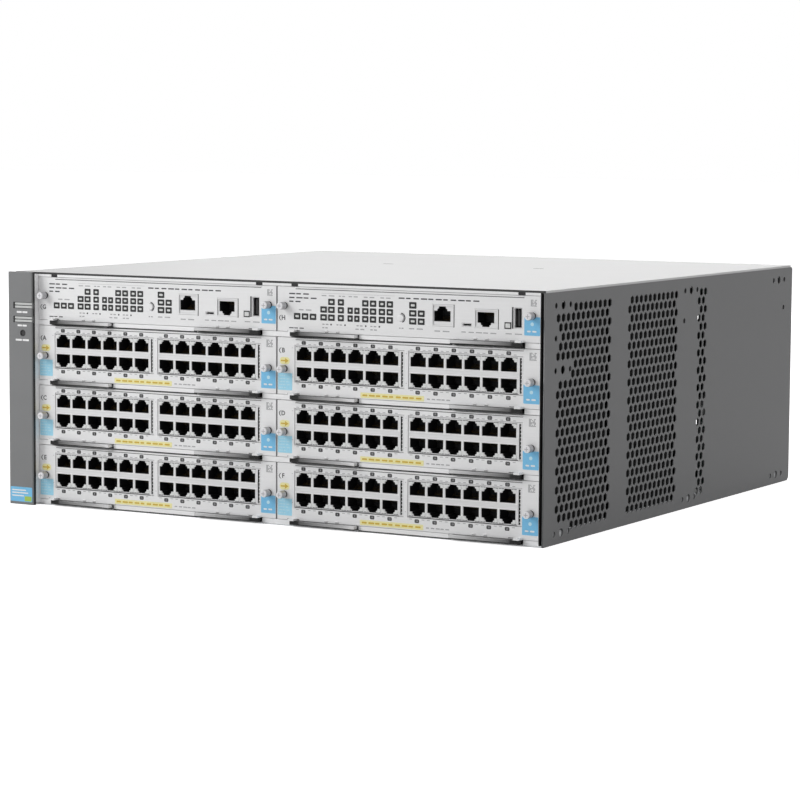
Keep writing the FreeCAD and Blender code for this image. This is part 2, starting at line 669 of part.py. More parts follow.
def line_ports():
    """Two shielded blocks of twelve jacks, upper row latch up, lower row latch down."""
    z0, z1 = block_heights()
    front = BLOCK_INSET
    blocks = []
    for first, x0, x1 in block_spans():
        openings = []
        for i in range(JACKS_PER_ROW):
            x = first + i * JACK_PITCH
            for sign in (1, -1):
                z = JACK_MID_Z + sign * JACK_ROW_GAP / 2
                openings.append(front_wire(jack_outline(x, z, sign), front))
        shell = plate(front_rect(x0, x1, z0, z1, front), openings, Vector(0, JACK_DEPTH, 0))
        back = box(x0, x1, front + JACK_DEPTH, BLOCK_D, z0, z1)
        blocks.append(shell.fuse(back).removeSplitter())
    return group(blocks)


# ---- management module -----------------------------------------------------------------------
def grown(rect, gap):
    x0, x1, z0, z1 = rect
    return x0 - gap, x1 + gap, z0 - gap, z1 + gap


def led_rects():
    """Light windows: as many left-hand groups as end before the button, and the right-hand ones."""
    limit = MODE_BUTTON_X - MODE_BUTTON_D / 2 - LED_CLEAR
    lights = [lamps for lamps in LED_GROUPS if lamps[1] <= limit]
    lights += [(MODULE_W - far, MODULE_W - near, rows) for far, near, rows in LED_RIGHT_GROUPS]
    return [(x0, x1, LED_LOW, LED_LOW + (rows - 1) * LED_PITCH + LED_H)
            for x0, x1, rows in lights]


def mgmt_carrier():
    rects = led_rects() + [NET_WINDOW, CONSOLE_WINDOW, MICRO_USB, USB, AUX_LIGHT]
    windows = [front_rect(*grown(rect, WINDOW_GAP / 2), 0) for rect in rects]
    reach = MODE_BUTTON_D / 2 + BUTTON_GAP
    windows.append(front_wire([(MODE_BUTTON_X + reach * c, MODE_BUTTON_Z + reach * s)
                               for c, s in ring(BUTTON_SIDES)], 0))
    return carrier(MGMT_FACE_H, windows, NET_WINDOW[2])


def socket(rect, depth, pocket):
    x0, x1, z0, z1 = rect
    return box(x0, x1, BLOCK_INSET, depth, z0, z1).cut(pocket)


def mgmt_ports():
    """Light pipes, the two jacks and the USB sockets behind the management face."""
    front = BLOCK_INSET
    pieces = [box(x0, x1, front, LED_D, z0, z1) for x0, x1, z0, z1 in led_rects() + [AUX_LIGHT]]
    net = jack_pocket(NET_PORT_X, NET_PORT_Z, 1, front, JACK_DEPTH)
    console = jack_pocket(CONSOLE_X, CONSOLE_Z, -1, front, JACK_DEPTH)
    pieces.append(socket(NET_WINDOW, CONNECTOR_D, net))
    pieces.append(socket(CONSOLE_WINDOW, CONNECTOR_D, console))
    for rect, depth in ((USB, USB_DEPTH), (MICRO_USB, USB_DEPTH / 2)):
        x0, x1, z0, z1 = grown(rect, -SOCKET_WALL / 2)
        pieces.append(socket(rect, CONNECTOR_D, box(x0, x1, front, depth, z0, z1)))
    return group(pieces)


def mode_button():
    """Mode button standing a little out of the face."""
    rim = [(MODE_BUTTON_X + MODE_BUTTON_D / 2 * c, MODE_BUTTON_Z + MODE_BUTTON_D / 2 * s)
           for c, s in ring(BUTTON_SIDES)]
    return plate(front_wire(rim, -BUTTON_PROUD), [], BACK * BUTTON_BODY)


# ---- fans --------------------------------------------------------------------------------------
def fan(radius, hub_radius, depth):
    """Fan rotor about the Y axis at the origin: hub bored for its shaft, and twisted blades."""
    hub_rim = front_wire([(hub_radius * c, hub_radius * s) for c, s in ring(FAN_HUB_SIDES)], 0)
    bore = front_wire(pin_hole(FAN_SHAFT), 0)
    hub = plate(hub_rim, [bore], BACK * depth)
    root = hub_radius * FAN_ROOT
    blade = Part.makeBox(radius - root, FAN_BLADE_T, depth, Vector(root, -FAN_BLADE_T / 2,
                                                                   -depth / 2))
    blade.rotate(Vector(0, 0, 0), Vector(1, 0, 0), 90 - FAN_BLADE_TURN)
    blade.translate(Vector(0, depth / 2, 0))
    blades = []
    for i in range(FAN_BLADES):
        turned = blade.copy()
        turned.rotate(Vector(0, 0, 0), BACK, 360.0 * i / FAN_BLADES)
        blades.append(turned)
    return fuse([hub] + blades)


def fan_shaft(x, y, z):
    """Round shaft from a fan's plane to the rear plate that carries it."""
    return rod(x, y, z, FAN_SHAFT, CHASSIS_D - y, BACK)


def fan_y():
    return CHASSIS_D - FAN_TIP_GAP - FAN_DEPTH


def placed_fan(x, y, z, radius, hub_radius, depth):
    rotor = fan(radius, hub_radius, depth)
    rotor.translate(Vector(x, y, z))
    return rotor


def grille_cuts(x, z, radius, hub_radius, y0, y1):
    """Horizontal slots across a fan's circle, stopping at a centre disc that carries its shaft."""
    cuts = []
    rows = int((radius - GRILLE_SLOT / 2) / GRILLE_PITCH)
    for row in range(-rows, rows + 1):
        dz = row * GRILLE_PITCH
        reach = abs(dz) + GRILLE_SLOT / 2
        outer = math.sqrt(radius ** 2 - reach ** 2)
        nearest = max(abs(dz) - GRILLE_SLOT / 2, 0)
        rib = GRILLE_PITCH - GRILLE_SLOT
        inner = math.sqrt(max(hub_radius ** 2 - nearest ** 2, rib ** 2 / 4))
        for sign in (-1, 1):
            ends = sorted((x + sign * inner, x + sign * outer))
            cuts.append(box(ends[0], ends[1], y0, y1, z + dz - GRILLE_SLOT / 2,
                            z + dz + GRILLE_SLOT / 2))
    return cuts


def handle(x0, x1, z, y):
    """Square-section pull handle standing out of a rear plate."""
    outer = box(x0, x1, y, y + HANDLE_REACH, z - HANDLE_BAR / 2, z + HANDLE_BAR / 2)
    gap = box(x0 + HANDLE_BAR, x1 - HANDLE_BAR, y - 1, y + HANDLE_REACH - HANDLE_BAR,
              z - HANDLE_BAR, z + HANDLE_BAR)
    return outer.cut(gap)


# ---- fan tray ----------------------------------------------------------------------------------
def tray_fan_places():
    middle = TRAY_X + TRAY_W / 2
    z = TRAY_Z + TRAY_H / 2
    return [(middle - FAN_PITCH / 2, z), (middle + FAN_PITCH / 2, z)]


def fan_tray():
    """Drawer with two fan shrouds, a shaft for each fan and a slotted rear plate."""
    y0 = CHASSIS_D - TRAY_D
    y1 = CHASSIS_D + REAR_PLATE
    x1 = TRAY_X + TRAY_W
    z1 = TRAY_Z + TRAY_H
    tray = box(TRAY_X, x1, y0, CHASSIS_D, TRAY_Z, z1)
    inside = box(TRAY_X + SHEET, x1 - SHEET, y0 + SHEET, CHASSIS_D, TRAY_Z + SHEET, z1 - SHEET)
    plate_out = box(TRAY_X - REAR_LIP, x1 + REAR_LIP, CHASSIS_D, y1, TRAY_Z - REAR_LIP,
                    z1 + REAR_LIP)
    parts = [tray.cut(inside), plate_out]
    cuts = []
    for x, z in tray_fan_places():
        parts.append(fan_shaft(x, fan_y(), z))
        reach = FAN_R + SHROUD_GAP
        rim = [(x + reach * c, z + reach * s) for c, s in ring(SHROUD_SIDES)]
        cuts.append(plate(front_wire(rim, y0 - 1), [], BACK * (SHEET + 2)))
        cuts += grille_cuts(x, z, FAN_R, FAN_HUB, CHASSIS_D - 1, y1 + 1)
    body = fuse(parts).cut(cuts)
    middle = TRAY_X + TRAY_W / 2
    z = TRAY_Z + TRAY_H / 2
    upright = handle(-TRAY_HANDLE_L / 2, TRAY_HANDLE_L / 2, 0, y1)
    upright.rotate(Vector(0, 0, 0), BACK, 90)
    upright.translate(Vector(middle, 0, z))
    return fuse([body, upright])


# ---- power supply ------------------------------------------------------------------------------
def psu_floors():
    return [PSU_Z, PSU_Z + PSU_PITCH]


def psu_fan_place(floor):
    return PSU_X + PSU_FAN_X, floor + PSU_H / 2


def inlet_rect(floor):
    x = PSU_X + INLET_X
    z = floor + INLET_Z
    return x - INLET_W / 2, x + INLET_W / 2, z - INLET_H / 2, z + INLET_H / 2


def psu(floor):
    """Power supply case with fan grille, mains inlet, handle, latch ears and an open nose."""
    y0 = CHASSIS_D - PSU_D
    y1 = CHASSIS_D + REAR_PLATE
    x1 = PSU_X + PSU_W
    z1 = floor + PSU_H
    wall = PSU_WALL
    case = box(PSU_X, x1, y0, CHASSIS_D, floor, z1)
    inside = box(PSU_X + wall, x1 - wall, y0 + wall, CHASSIS_D, floor + wall, z1 - wall)
    frame = PSU_NOSE_FLANGE
    nose = box(PSU_X + frame, x1 - frame, y0 - 1, y0 + wall + 1, floor + frame, z1 - frame)
    rear = box(PSU_X - PSU_LIP, x1 + PSU_LIP, CHASSIS_D, y1, floor - PSU_LIP, z1 + PSU_LIP)
    fx, fz = psu_fan_place(floor)
    shaft = fan_shaft(fx, fan_y(), fz)
    rim, pocket, blades = inlet(floor, y1)
    body = fuse([case.cut(inside).cut(nose), rear, shaft, rim])
    body = body.cut(grille_cuts(fx, fz, PSU_FAN_R, PSU_FAN_HUB, CHASSIS_D - 1, y1 + 1))
    body = body.cut(pocket)
    handle_x = PSU_X + PSU_HANDLE_X
    pull = handle(handle_x, handle_x + PSU_HANDLE_L, floor + LATCH_Z, y1)
    return fuse([body, pull] + latch_seat(floor, y1) + blades)


def inlet(floor, y1):
    """Mains inlet: its moulded rim, the pocket inside it and the three blades."""
    x0, x1, z0, z1 = inlet_rect(floor)
    wall = INLET_WALL
    y0 = CHASSIS_D - INLET_DEPTH
    rim = box(x0 - wall, x1 + wall, y0, y1 + INLET_PROUD, z0 - wall, z1 + wall)
    pocket = box(x0, x1, y0 + wall, y1 + INLET_PROUD + 1, z0, z1)
    blades = []
    for across, up in BLADE_PLACES:
        x = x0 + INLET_W * across
        z = z0 + INLET_H * up
        blades.append(box(x - BLADE_W / 2, x + BLADE_W / 2, y0, CHASSIS_D - BLADE_SUNK,
                          z - BLADE_H / 2, z + BLADE_H / 2))
    return rim, pocket, blades


def latch_seat(floor, y1):
    """The two ears on a supply's rear plate and the round pin across them."""
    x0 = PSU_X + LATCH_X - LATCH_W / 2
    x1 = x0 + LATCH_W
    z = floor + LATCH_Z
    ears = [box(x, x + EAR_T, y1, latch_y() + EAR_HALF, z - EAR_HALF, z + EAR_HALF)
            for x in (x0 - EAR_GAP - EAR_T, x1 + EAR_GAP)]
    reach = EAR_GAP + EAR_T / 2
    pin = rod(x0 - reach, latch_y(), z, LATCH_PIN, LATCH_W + 2 * reach, Vector(1, 0, 0))
    return ears + [pin]


def latch_y():
    return CHASSIS_D + REAR_PLATE + LATCH_STAND


def latch_wire(x, z, corners):
    """An outline about the latch pin's axis, in the plane across it."""
    return closed_wire([Vector(x, latch_y() + a, z + b) for a, b in corners])


def psu_latch(floor):
    """Sprung tab on the power supply's latch pin, with a thumb lip."""
    x0 = PSU_X + LATCH_X - LATCH_W / 2
    x1 = x0 + LATCH_W
    y = latch_y()
    z = floor + LATCH_Z
    half = LATCH_T / 2
    reach = LATCH_PIN + LATCH_HUB
    rim = [(reach * c, reach * s) for c, s in ring(HOLE_FLATS)]
    hub = plate(latch_wire(x0, z, rim), [latch_wire(x0, z, pin_hole(LATCH_PIN))],
                Vector(LATCH_W, 0, 0))
    tip = z + LATCH_L
    tab = box(x0, x1, y - half, y + half, z + LATCH_PIN + LATCH_HUB / 2, tip)
    lip = box(x0, x1, y - half, y + half + LATCH_LIP, tip - LATCH_T, tip)
    return fuse([hub, tab, lip])


# ---- the whole switch --------------------------------------------------------------------------
def chassis_nodes():
    return {"base_pan": base_pan(), "side_panel_left": side_panel_left(),
            "side_panel_right": side_panel_right(), "top_cover": top_cover(),
            "rear_panel": rear_panel(), "card_cage": card_cage(), "midplane": midplane(),
            "front_bezel": front_bezel(), "status_lights": status_lights()}


def module_nodes():
    """Six line modules lettered from the top left, and two management modules above them."""
    nodes = {}
    line = {"carrier": line_carrier(), "board": board(block_heights()[0]),
            "ports": line_ports(), "lever_left": lever_left(), "lever_right": lever_right()}
    management = {"carrier": mgmt_carrier(), "board": board(NET_WINDOW[2]),
                  "ports": mgmt_ports(), "lever_left": lever_left(),
                  "lever_right": lever_right(), "button": mode_button()}
    slots = [("line_" + "abcdef"[2 * i + column], line, ROWS - 1 - i, column)
             for i in range(ROWS) for column in range(2)]
    slots += [("mgmt_left", management, ROWS, 0), ("mgmt_right", management, ROWS, 1)]
    for name, pieces, row, column in slots:
        for piece, shape in pieces.items():
            placed = shape.copy()
            placed.translate(Vector(module_left(column), 0, row_floor(row)))
            nodes[name + "_" + piece] = placed
    return nodes


def rear_nodes():
    nodes = {"fan_tray": fan_tray()}
    for name, (x, z) in zip(("fan_left", "fan_right"), tray_fan_places()):
        nodes[name] = placed_fan(x, fan_y(), z, FAN_R, FAN_HUB, FAN_DEPTH)
    for name, floor in zip(("psu_lower", "psu_upper"), psu_floors()):
        x, z = psu_fan_place(floor)
        nodes[name] = psu(floor)
        nodes[name + "_latch"] = psu_latch(floor)
        nodes[name + "_fan"] = placed_fan(x, fan_y(), z, PSU_FAN_R, PSU_FAN_HUB, FAN_DEPTH)
    return nodes


def main():
    os.makedirs("parts", exist_ok=True)
    nodes = {**chassis_nodes(), **module_nodes(), **rear_nodes()}
    for name, shape in nodes.items():
        shape.translate(Vector(-CENTRE_X, -CENTRE_Y, 0))
        shape.exportStep("parts/" + name + ".step")


main()
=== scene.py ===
import json
import math

import bmesh
import bpy
from mathutils import Matrix, Vector


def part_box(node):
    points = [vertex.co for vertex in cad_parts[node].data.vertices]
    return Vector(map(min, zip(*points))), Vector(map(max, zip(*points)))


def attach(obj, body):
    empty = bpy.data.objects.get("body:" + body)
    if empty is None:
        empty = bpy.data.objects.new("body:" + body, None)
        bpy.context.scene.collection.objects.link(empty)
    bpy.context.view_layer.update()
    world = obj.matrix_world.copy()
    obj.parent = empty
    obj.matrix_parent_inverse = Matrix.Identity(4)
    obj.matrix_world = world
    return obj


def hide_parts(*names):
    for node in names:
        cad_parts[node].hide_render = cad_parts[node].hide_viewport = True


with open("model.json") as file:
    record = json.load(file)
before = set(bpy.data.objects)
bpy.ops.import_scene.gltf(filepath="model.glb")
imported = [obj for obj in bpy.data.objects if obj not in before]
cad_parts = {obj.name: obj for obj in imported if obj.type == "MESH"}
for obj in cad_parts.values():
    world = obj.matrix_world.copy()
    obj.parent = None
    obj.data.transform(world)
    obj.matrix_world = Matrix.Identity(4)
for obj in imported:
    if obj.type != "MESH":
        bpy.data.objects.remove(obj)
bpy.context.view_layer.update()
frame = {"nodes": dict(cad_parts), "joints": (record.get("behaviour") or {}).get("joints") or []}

# The looks of a modular chassis switch.  Sizes are in metres in the part's own frame; a module's
# details are laid out in millimetres from its face's left edge, its face plane and its row's base.

bl_info = {
    "name": "Modular chassis switch",
    "version": (1, 0, 0),
    "blender": (4, 5, 0),
    "location": "View3D > Sidebar > Switch",
    "description": "Builds the finishes and fine pieces of a modular chassis switch",
    "category": "Object",
}

MM = 0.001
FACE_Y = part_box("side_panel_right")[0][1]
LINE_MODULES = ["line_" + letter for letter in "abcdef"]
MGMT_MODULES = ["mgmt_left", "mgmt_right"]
MODULES = LINE_MODULES + MGMT_MODULES
SLOT_LETTERS = dict(zip(MODULES, "ABCDEFGH"))
LEVER_LIFT = 0.6
SHEET = 1.2
SCREW_X, SCREW_Z = 5.9, 21.7
KNOB_R = 2.5
KNOB_TEETH = 20
MODULE_W = (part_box("line_a_carrier")[1][0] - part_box("line_a_carrier")[0][0]) / MM
JACK_PITCH = 14.1
JACK_X = [first + JACK_PITCH * i for first in (21.8, 114.1) for i in range(6)]
JACK_MID = 25.6
JACK_GAP = 4.9
JACK_SIZE, FRAMED_SIZE = (6.1, 6.6), (6.5, 7.3)
BLOCK_DEPTH, FRAMED_DEPTH, LINER_DEPTH = 25.6, 17.6, 12.6
PORT_FACE = 0.4
SHELL = 0.5
FOLD = 0.3
BLOCKS = [(14.5, 103.2), (106.8, 195.5)]
BLOCK_Z = (12.65, 38.55)
LED_GROUPS = [(13.6, 32.1, 1, 3), (35.4, 40.8, 2, 1), (41.8, 47.2, 3, 1), (49.7, 54.7, 3, 1),
              (57.6, 67.4, 2, 2), (69.4, 80.8, 3, 2), (82.8, 94.2, 3, 2), (107.0, 112.8, 3, 1),
              (113.9, 119.3, 2, 1)]
LED_LOW, LED_PITCH, LED_H = 12.3, 5.5, 4.5
LED_GAP = 1.1
LOCATOR_TOP = 0.132
LINE_TOP, MGMT_TOP = 44.0, 35.2
MARK_X, LINE_MARK_Z, MGMT_MARK_Z = 4.2, 34.6, 13.0


# ---- sizes and colours a user would change ---------------------------------------------------
def color_prop(name, description, default):
    return bpy.props.FloatVectorProperty(name=name, description=description, default=default,
                                         subtype="COLOR", size=3, min=0.0, max=1.0)


def length_prop(name, description, default):
    return bpy.props.FloatProperty(name=name, description=description, default=default,
                                   min=0.0, subtype="DISTANCE", unit="LENGTH")


class SwitchColors(bpy.types.PropertyGroup):
    """Colours of the switch's finishes."""

    side: color_prop("Side panels", "Paint of the perforated side panels", (0.158, 0.159, 0.162))
    cover: color_prop("Top cover", "Paint of the top cover", (0.6, 0.6, 0.6))
    face: color_prop("Module faces", "Silver finish of the module faces", (0.86, 0.86, 0.865))
    bezel: color_prop("Bezel", "Plastic of the front bezel", (0.2, 0.203, 0.206))
    steel: color_prop("Zinc steel", "Plated steel of the cage and rear", (0.6, 0.61, 0.62))
    blue: color_prop("Blue labels", "Label stock of the blue labels", (0.2, 0.55, 0.84))
    yellow: color_prop("Yellow labels", "Label stock of the yellow strips", (0.9, 0.84, 0.42))
    # The dark print colour also colours painted shadow lines and painted shade in gaps.
    print_and_shade_dark: color_prop("Dark print", "Ink of the printed marks", (0.05, 0.05, 0.055))


class SwitchSizes(bpy.types.PropertyGroup):
    """Sizes of the fine pieces."""

    hole_flats: length_prop("Vent hole", "Across the flats of a vent hole", 0.0059)
    hole_pitch: length_prop("Vent pitch", "Between vent holes along a row", 0.00764)
    row_pitch: length_prop("Vent row pitch", "Between rows of vent holes", 0.00653)
    label_proud: length_prop("Label thickness", "Thickness of labels and print", 0.00006)
    edge: length_prop("Edge rounding", "Rounding of sheet metal edges", 0.00025)


# ---- shader maths ----------------------------------------------------------------------------
class Value:
    """A socket of a material's node tree; arithmetic on it adds Math nodes."""

    def __init__(self, finish, socket):
        self.finish = finish
        self.socket = socket

    def math(self, operation, *terms):
        inputs = dict(enumerate(terms))
        return self.finish.add("ShaderNodeMath", {"operation": operation}, inputs)

    def __add__(self, other):
        return self.math("ADD", self, other)

    def __sub__(self, other):
        return self.math("SUBTRACT", self, other)

    def __rsub__(self, other):
        return self.math("SUBTRACT", other, self)

    def __mul__(self, other):
        return self.math("MULTIPLY", self, other)

    def __abs__(self):
        return self.math("ABSOLUTE", self)

    def __gt__(self, other):
        return self.math("GREATER_THAN", self, other)

    def __lt__(self, other):
        return self.math("LESS_THAN", self, other)

    __radd__ = __add__
    __rmul__ = __mul__

    def clamped(self):
        return self.finish.add("ShaderNodeClamp", {}, {"Value": self})


class Finish:
    """A procedural material built round one Principled shader."""

    def __init__(self, name, **constants):
        self.material = bpy.data.materials.new(name)
        self.material.use_nodes = True
        self.tree = self.material.node_tree
        self.shader = self.tree.nodes["Principled BSDF"]
        self.feed(**constants)

    def add(self, kind, settings, inputs, output=0):
        """Adds a node with its settings and inputs, and returns one of its outputs."""
        node = self.tree.nodes.new(kind)
        for key, value in settings.items():
            if key == "stops":
                self.set_stops(node.color_ramp, value)
            else:
                setattr(node, key, value)
        for key, value in inputs.items():
            self.plug(node.inputs[key], value)
        return Value(self, node.outputs[output])

    def plug(self, socket, value):
        if isinstance(value, Value):
            self.tree.links.new(value.socket, socket)
        else:
            socket.default_value = value

    @staticmethod
    def set_stops(ramp, stops):
        while len(ramp.elements) < len(stops):
            ramp.elements.new(1.0)
        for element, (place, color) in zip(ramp.elements, stops):
            element.position = place
            element.color = (*color, 1.0)

    def place(self):
        """Position in the piece's own frame."""
        return self.add("ShaderNodeTexCoord", {}, {}, "Object")

    def axis(self, name):
        return self.add("ShaderNodeSeparateXYZ", {}, {"Vector": self.place()}, name)

    def noise(self, scale, detail=3.0, stretch=None):
        place = self.place()
        if stretch:
            place = self.add("ShaderNodeVectorMath", {"operation": "MULTIPLY"},
                             {0: place, 1: stretch})
        return self.add("ShaderNodeTexNoise", {},
                        {"Vector": place, "Scale": scale, "Detail": detail}, "Fac")

    def blend(self, factor, first, second):
        """Colour from first to second as factor goes from 0 to 1."""
        pair = [c if isinstance(c, Value) else (*c, 1.0) for c in (first, second)]
        return self.add("ShaderNodeMix", {"data_type": "RGBA"},
                        {0: factor, 6: pair[0], 7: pair[1]}, 2)

    def bump(self, height, strength, distance):
        return self.add("ShaderNodeBump", {},
                        {"Height": height, "Strength": strength, "Distance": distance}, "Normal")

    def wear(self):
        """Cloudy variation from 0 to 1 over some centimetres."""
        return self.noise(28.0, 4.0)

    def feed(self, **values):
        """Sets or links sockets of the shader, and returns the material."""
        for key, value in values.items():
            socket = key.replace("_", " ").title().replace("Ior", "IOR")
            self.plug(self.shader.inputs[socket], value)
        return self.material


def shade(color, factor):
    return tuple(min(1.0, c * factor) for c in color)


def powder_paint(name, color, metallic, roughness):
    """Sprayed paint on sheet metal: a fine orange peel and a faint cloudiness."""
    finish = Finish(name, metallic=metallic, coat_roughness=0.35)
    cloud = finish.wear()
    speck = finish.noise(2600.0, 1.0)
    tone = finish.blend(cloud, shade(color, 0.95), shade(color, 1.05))
    tone = finish.blend((speck > 0.62) * 0.16, tone, shade(color, 1.6))
    peel = finish.noise(900.0, 2.0)
    return finish.feed(base_color=tone, roughness=roughness + 0.1 * cloud,
                       normal=finish.bump(peel, 0.12, 0.0001))


def cover_finish(name, color):
    """Sprayed paint on the top cover, its front edge face darkened to near black."""
    finish = Finish(name, specular_ior_level=0.2)
    cloud = finish.wear()
    speck = finish.noise(2600.0, 1.0)
    tone = finish.blend(cloud, shade(color, 0.95), shade(color, 1.05))
    tone = finish.blend(speck * 0.1, tone, shade(color, 0.8))
    # The front edge face is darkened to near black.
    edge = finish.axis("Y") < FACE_Y + 0.0004
    tone = finish.blend(edge, tone, shade(color, 0.1))
    return finish.feed(base_color=tone, roughness=0.42 + 0.1 * cloud,
                       normal=finish.bump(finish.noise(900.0, 2.0), 0.12, 0.0001))


def brushed_metal(name, color, along, roughness, metallic=1.0, streak=0.12):
    """Metal with fine brush lines along one axis."""
    finish = Finish(name, metallic=metallic)
    stretch = [900.0, 900.0, 900.0]
    stretch["XYZ".index(along)] = 18.0
    lines = finish.noise(1.0, 4.0, tuple(stretch))
    cloud = finish.wear()
    tone = finish.blend(lines, shade(color, 1.0 - streak), shade(color, 1.0 + streak))
    return finish.feed(base_color=tone, roughness=roughness + 0.12 * cloud + 0.1 * lines,
                       normal=finish.bump(lines, 0.1, 0.00005))


def moulded_plastic(name, color, roughness, painted_shade_x=None):
    """Moulded plastic with a fine spark-eroded grain; past the given X it is painted black as
    shade.
    """
    finish = Finish(name)
    cloud = finish.wear()
    tone = finish.blend(cloud, shade(color, 0.94), shade(color, 1.06))
    # Painted shade: the faces past the given X are painted black.
    if painted_shade_x is not None:
        tone = finish.blend(finish.axis("X") > painted_shade_x, tone, (0.008, 0.008, 0.008))
    return finish.feed(base_color=tone, roughness=roughness + 0.12 * cloud,
                       normal=finish.bump(finish.noise(1400.0, 2.0), 0.2, 0.00008))


def printed_ink(name, color, roughness=0.55):
    """Screen-printed ink or label stock with slightly uneven cover."""
    finish = Finish(name)
    cover = finish.noise(700.0, 2.0)
    tone = finish.blend(cover, shade(color, 0.92), shade(color, 1.08))
    return finish.feed(base_color=tone, roughness=roughness + 0.08 * cover)


def silver_face(name, color):
    """Silver paint over brushed sheet: pale, with long faint lines and a soft sheen."""
    finish = Finish(name, metallic=0.12)
    lines = finish.noise(1.0, 3.0, (22.0, 500.0, 1300.0))
    cloud = finish.wear()
    tone = finish.blend(lines, shade(color, 0.96), shade(color, 1.04))
    tone = finish.blend(cloud * 0.3, tone, shade(color, 0.93))
    return finish.feed(base_color=tone, roughness=0.34 + 0.1 * cloud,
                       normal=finish.bump(lines, 0.05, 0.00005))


def lever_finish(name, color, pivots):
    """Lever steel with painted shade: near black at the pivot end, lighter towards the grip, and a
    painted shadow along its foot.
    """
    finish = Finish(name, metallic=0.3)
    x = finish.axis("X")
    along = abs(x - pivots[0])
    for pivot in pivots[1:]:
        along = along.math("MINIMUM", along, abs(x - pivot))
    lines = finish.noise(1.0, 3.0, (30.0, 700.0, 1500.0))
    # Painted shade along the lever: near black by the pivot, growing lighter towards the grip.
    tone = finish.add("ShaderNodeValToRGB",
                      {"stops": [(0.0, (0.006, 0.006, 0.006)), (0.10, (0.008, 0.008, 0.008)),
                                 (0.13, shade(color, 0.14)), (0.35, shade(color, 0.34)),
                                 (0.7, shade(color, 0.6)), (0.98, shade(color, 0.95))]},
                      {0: along * 20.0})
    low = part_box("line_e_lever_left")[0][2]
    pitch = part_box("line_c_lever_left")[0][2] - low
    height = finish.axis("Z") - (low - 0.0001)
    # Painted shadow: a near-black band along the foot of each lever.
    foot = height.math("MODULO", height, pitch) < 0.0008
    tone = finish.blend(foot, tone, (0.012, 0.012, 0.012))
    return finish.feed(base_color=tone, roughness=0.3 + 0.15 * lines,
                       normal=finish.bump(lines, 0.08, 0.00005))


def cage_finish(name, color, low, high):
    """Zinc steel, with painted shade: near black on the outer walls and on the wall between the
    two columns.
    """
    finish = Finish(name, specular_ior_level=0.15)
    lines = finish.noise(1.0, 3.0, (40.0, 600.0, 900.0))
    spangle = finish.add("ShaderNodeTexVoronoi", {"feature": "F1"},
                         {"Vector": finish.place(), "Scale": 260.0}, "Distance")
    metal = finish.blend(lines, shade(color, 0.92), shade(color, 1.08))
    metal = finish.blend((spangle * 1.4).clamped() * 0.08, metal, shade(color, 0.8))
    x = finish.axis("X")
    y = finish.axis("Y")
    # Painted shade: the outer walls and the wall between the columns are painted near black, less
    # metallic and rougher.
    middle = (x > low[1] - 0.0002) * (x < high[0] + 0.0002) * (y > FACE_Y + 0.0009)
    painted_shade = (x > high[1]) + (x < low[0]) * (y > FACE_Y + 0.003) + middle
    painted_shade = painted_shade.clamped()
    tone = finish.blend(painted_shade, metal, (0.003, 0.003, 0.003))
    return finish.feed(base_color=tone, metallic=0.15 * (1.0 - painted_shade),
                       roughness=0.38 + 0.3 * painted_shade + 0.1 * lines)


def board_finish(name):
    """Green solder resist with faint copper tracks under it."""
    finish = Finish(name, coat_weight=0.3)
    tracks = finish.add("ShaderNodeTexBrick", {"offset": 0.37},
                        {"Vector": finish.place(), "Scale": 90.0, "Mortar Size": 0.012,
                         "Brick Width": 0.7, "Row Height": 0.12}, "Fac")
    tone = finish.blend(tracks * 0.6, (0.012, 0.1, 0.05), (0.05, 0.24, 0.12))
    return finish.feed(base_color=tone, roughness=0.35 + 0.1 * finish.wear())


def lens_finish(name, color, dark_below=None):
    """Milky moulded light pipe; what lies under dark_below is smoked."""
    finish = Finish(name, coat_weight=0.5)
    cloud = finish.noise(500.0, 2.0)
    tone = finish.blend(cloud, shade(color, 0.9), shade(color, 1.06))
    if dark_below:
        tone = finish.blend(finish.axis("Z") < dark_below, tone, (0.012, 0.012, 0.013))
    return finish.feed(base_color=tone, roughness=0.25 + 0.1 * cloud)


def joint_x(body):
    """X of the axis that a body turns on."""
    return next(joint["pos_m"][0] for joint in frame["joints"] if joint["child"] == body)


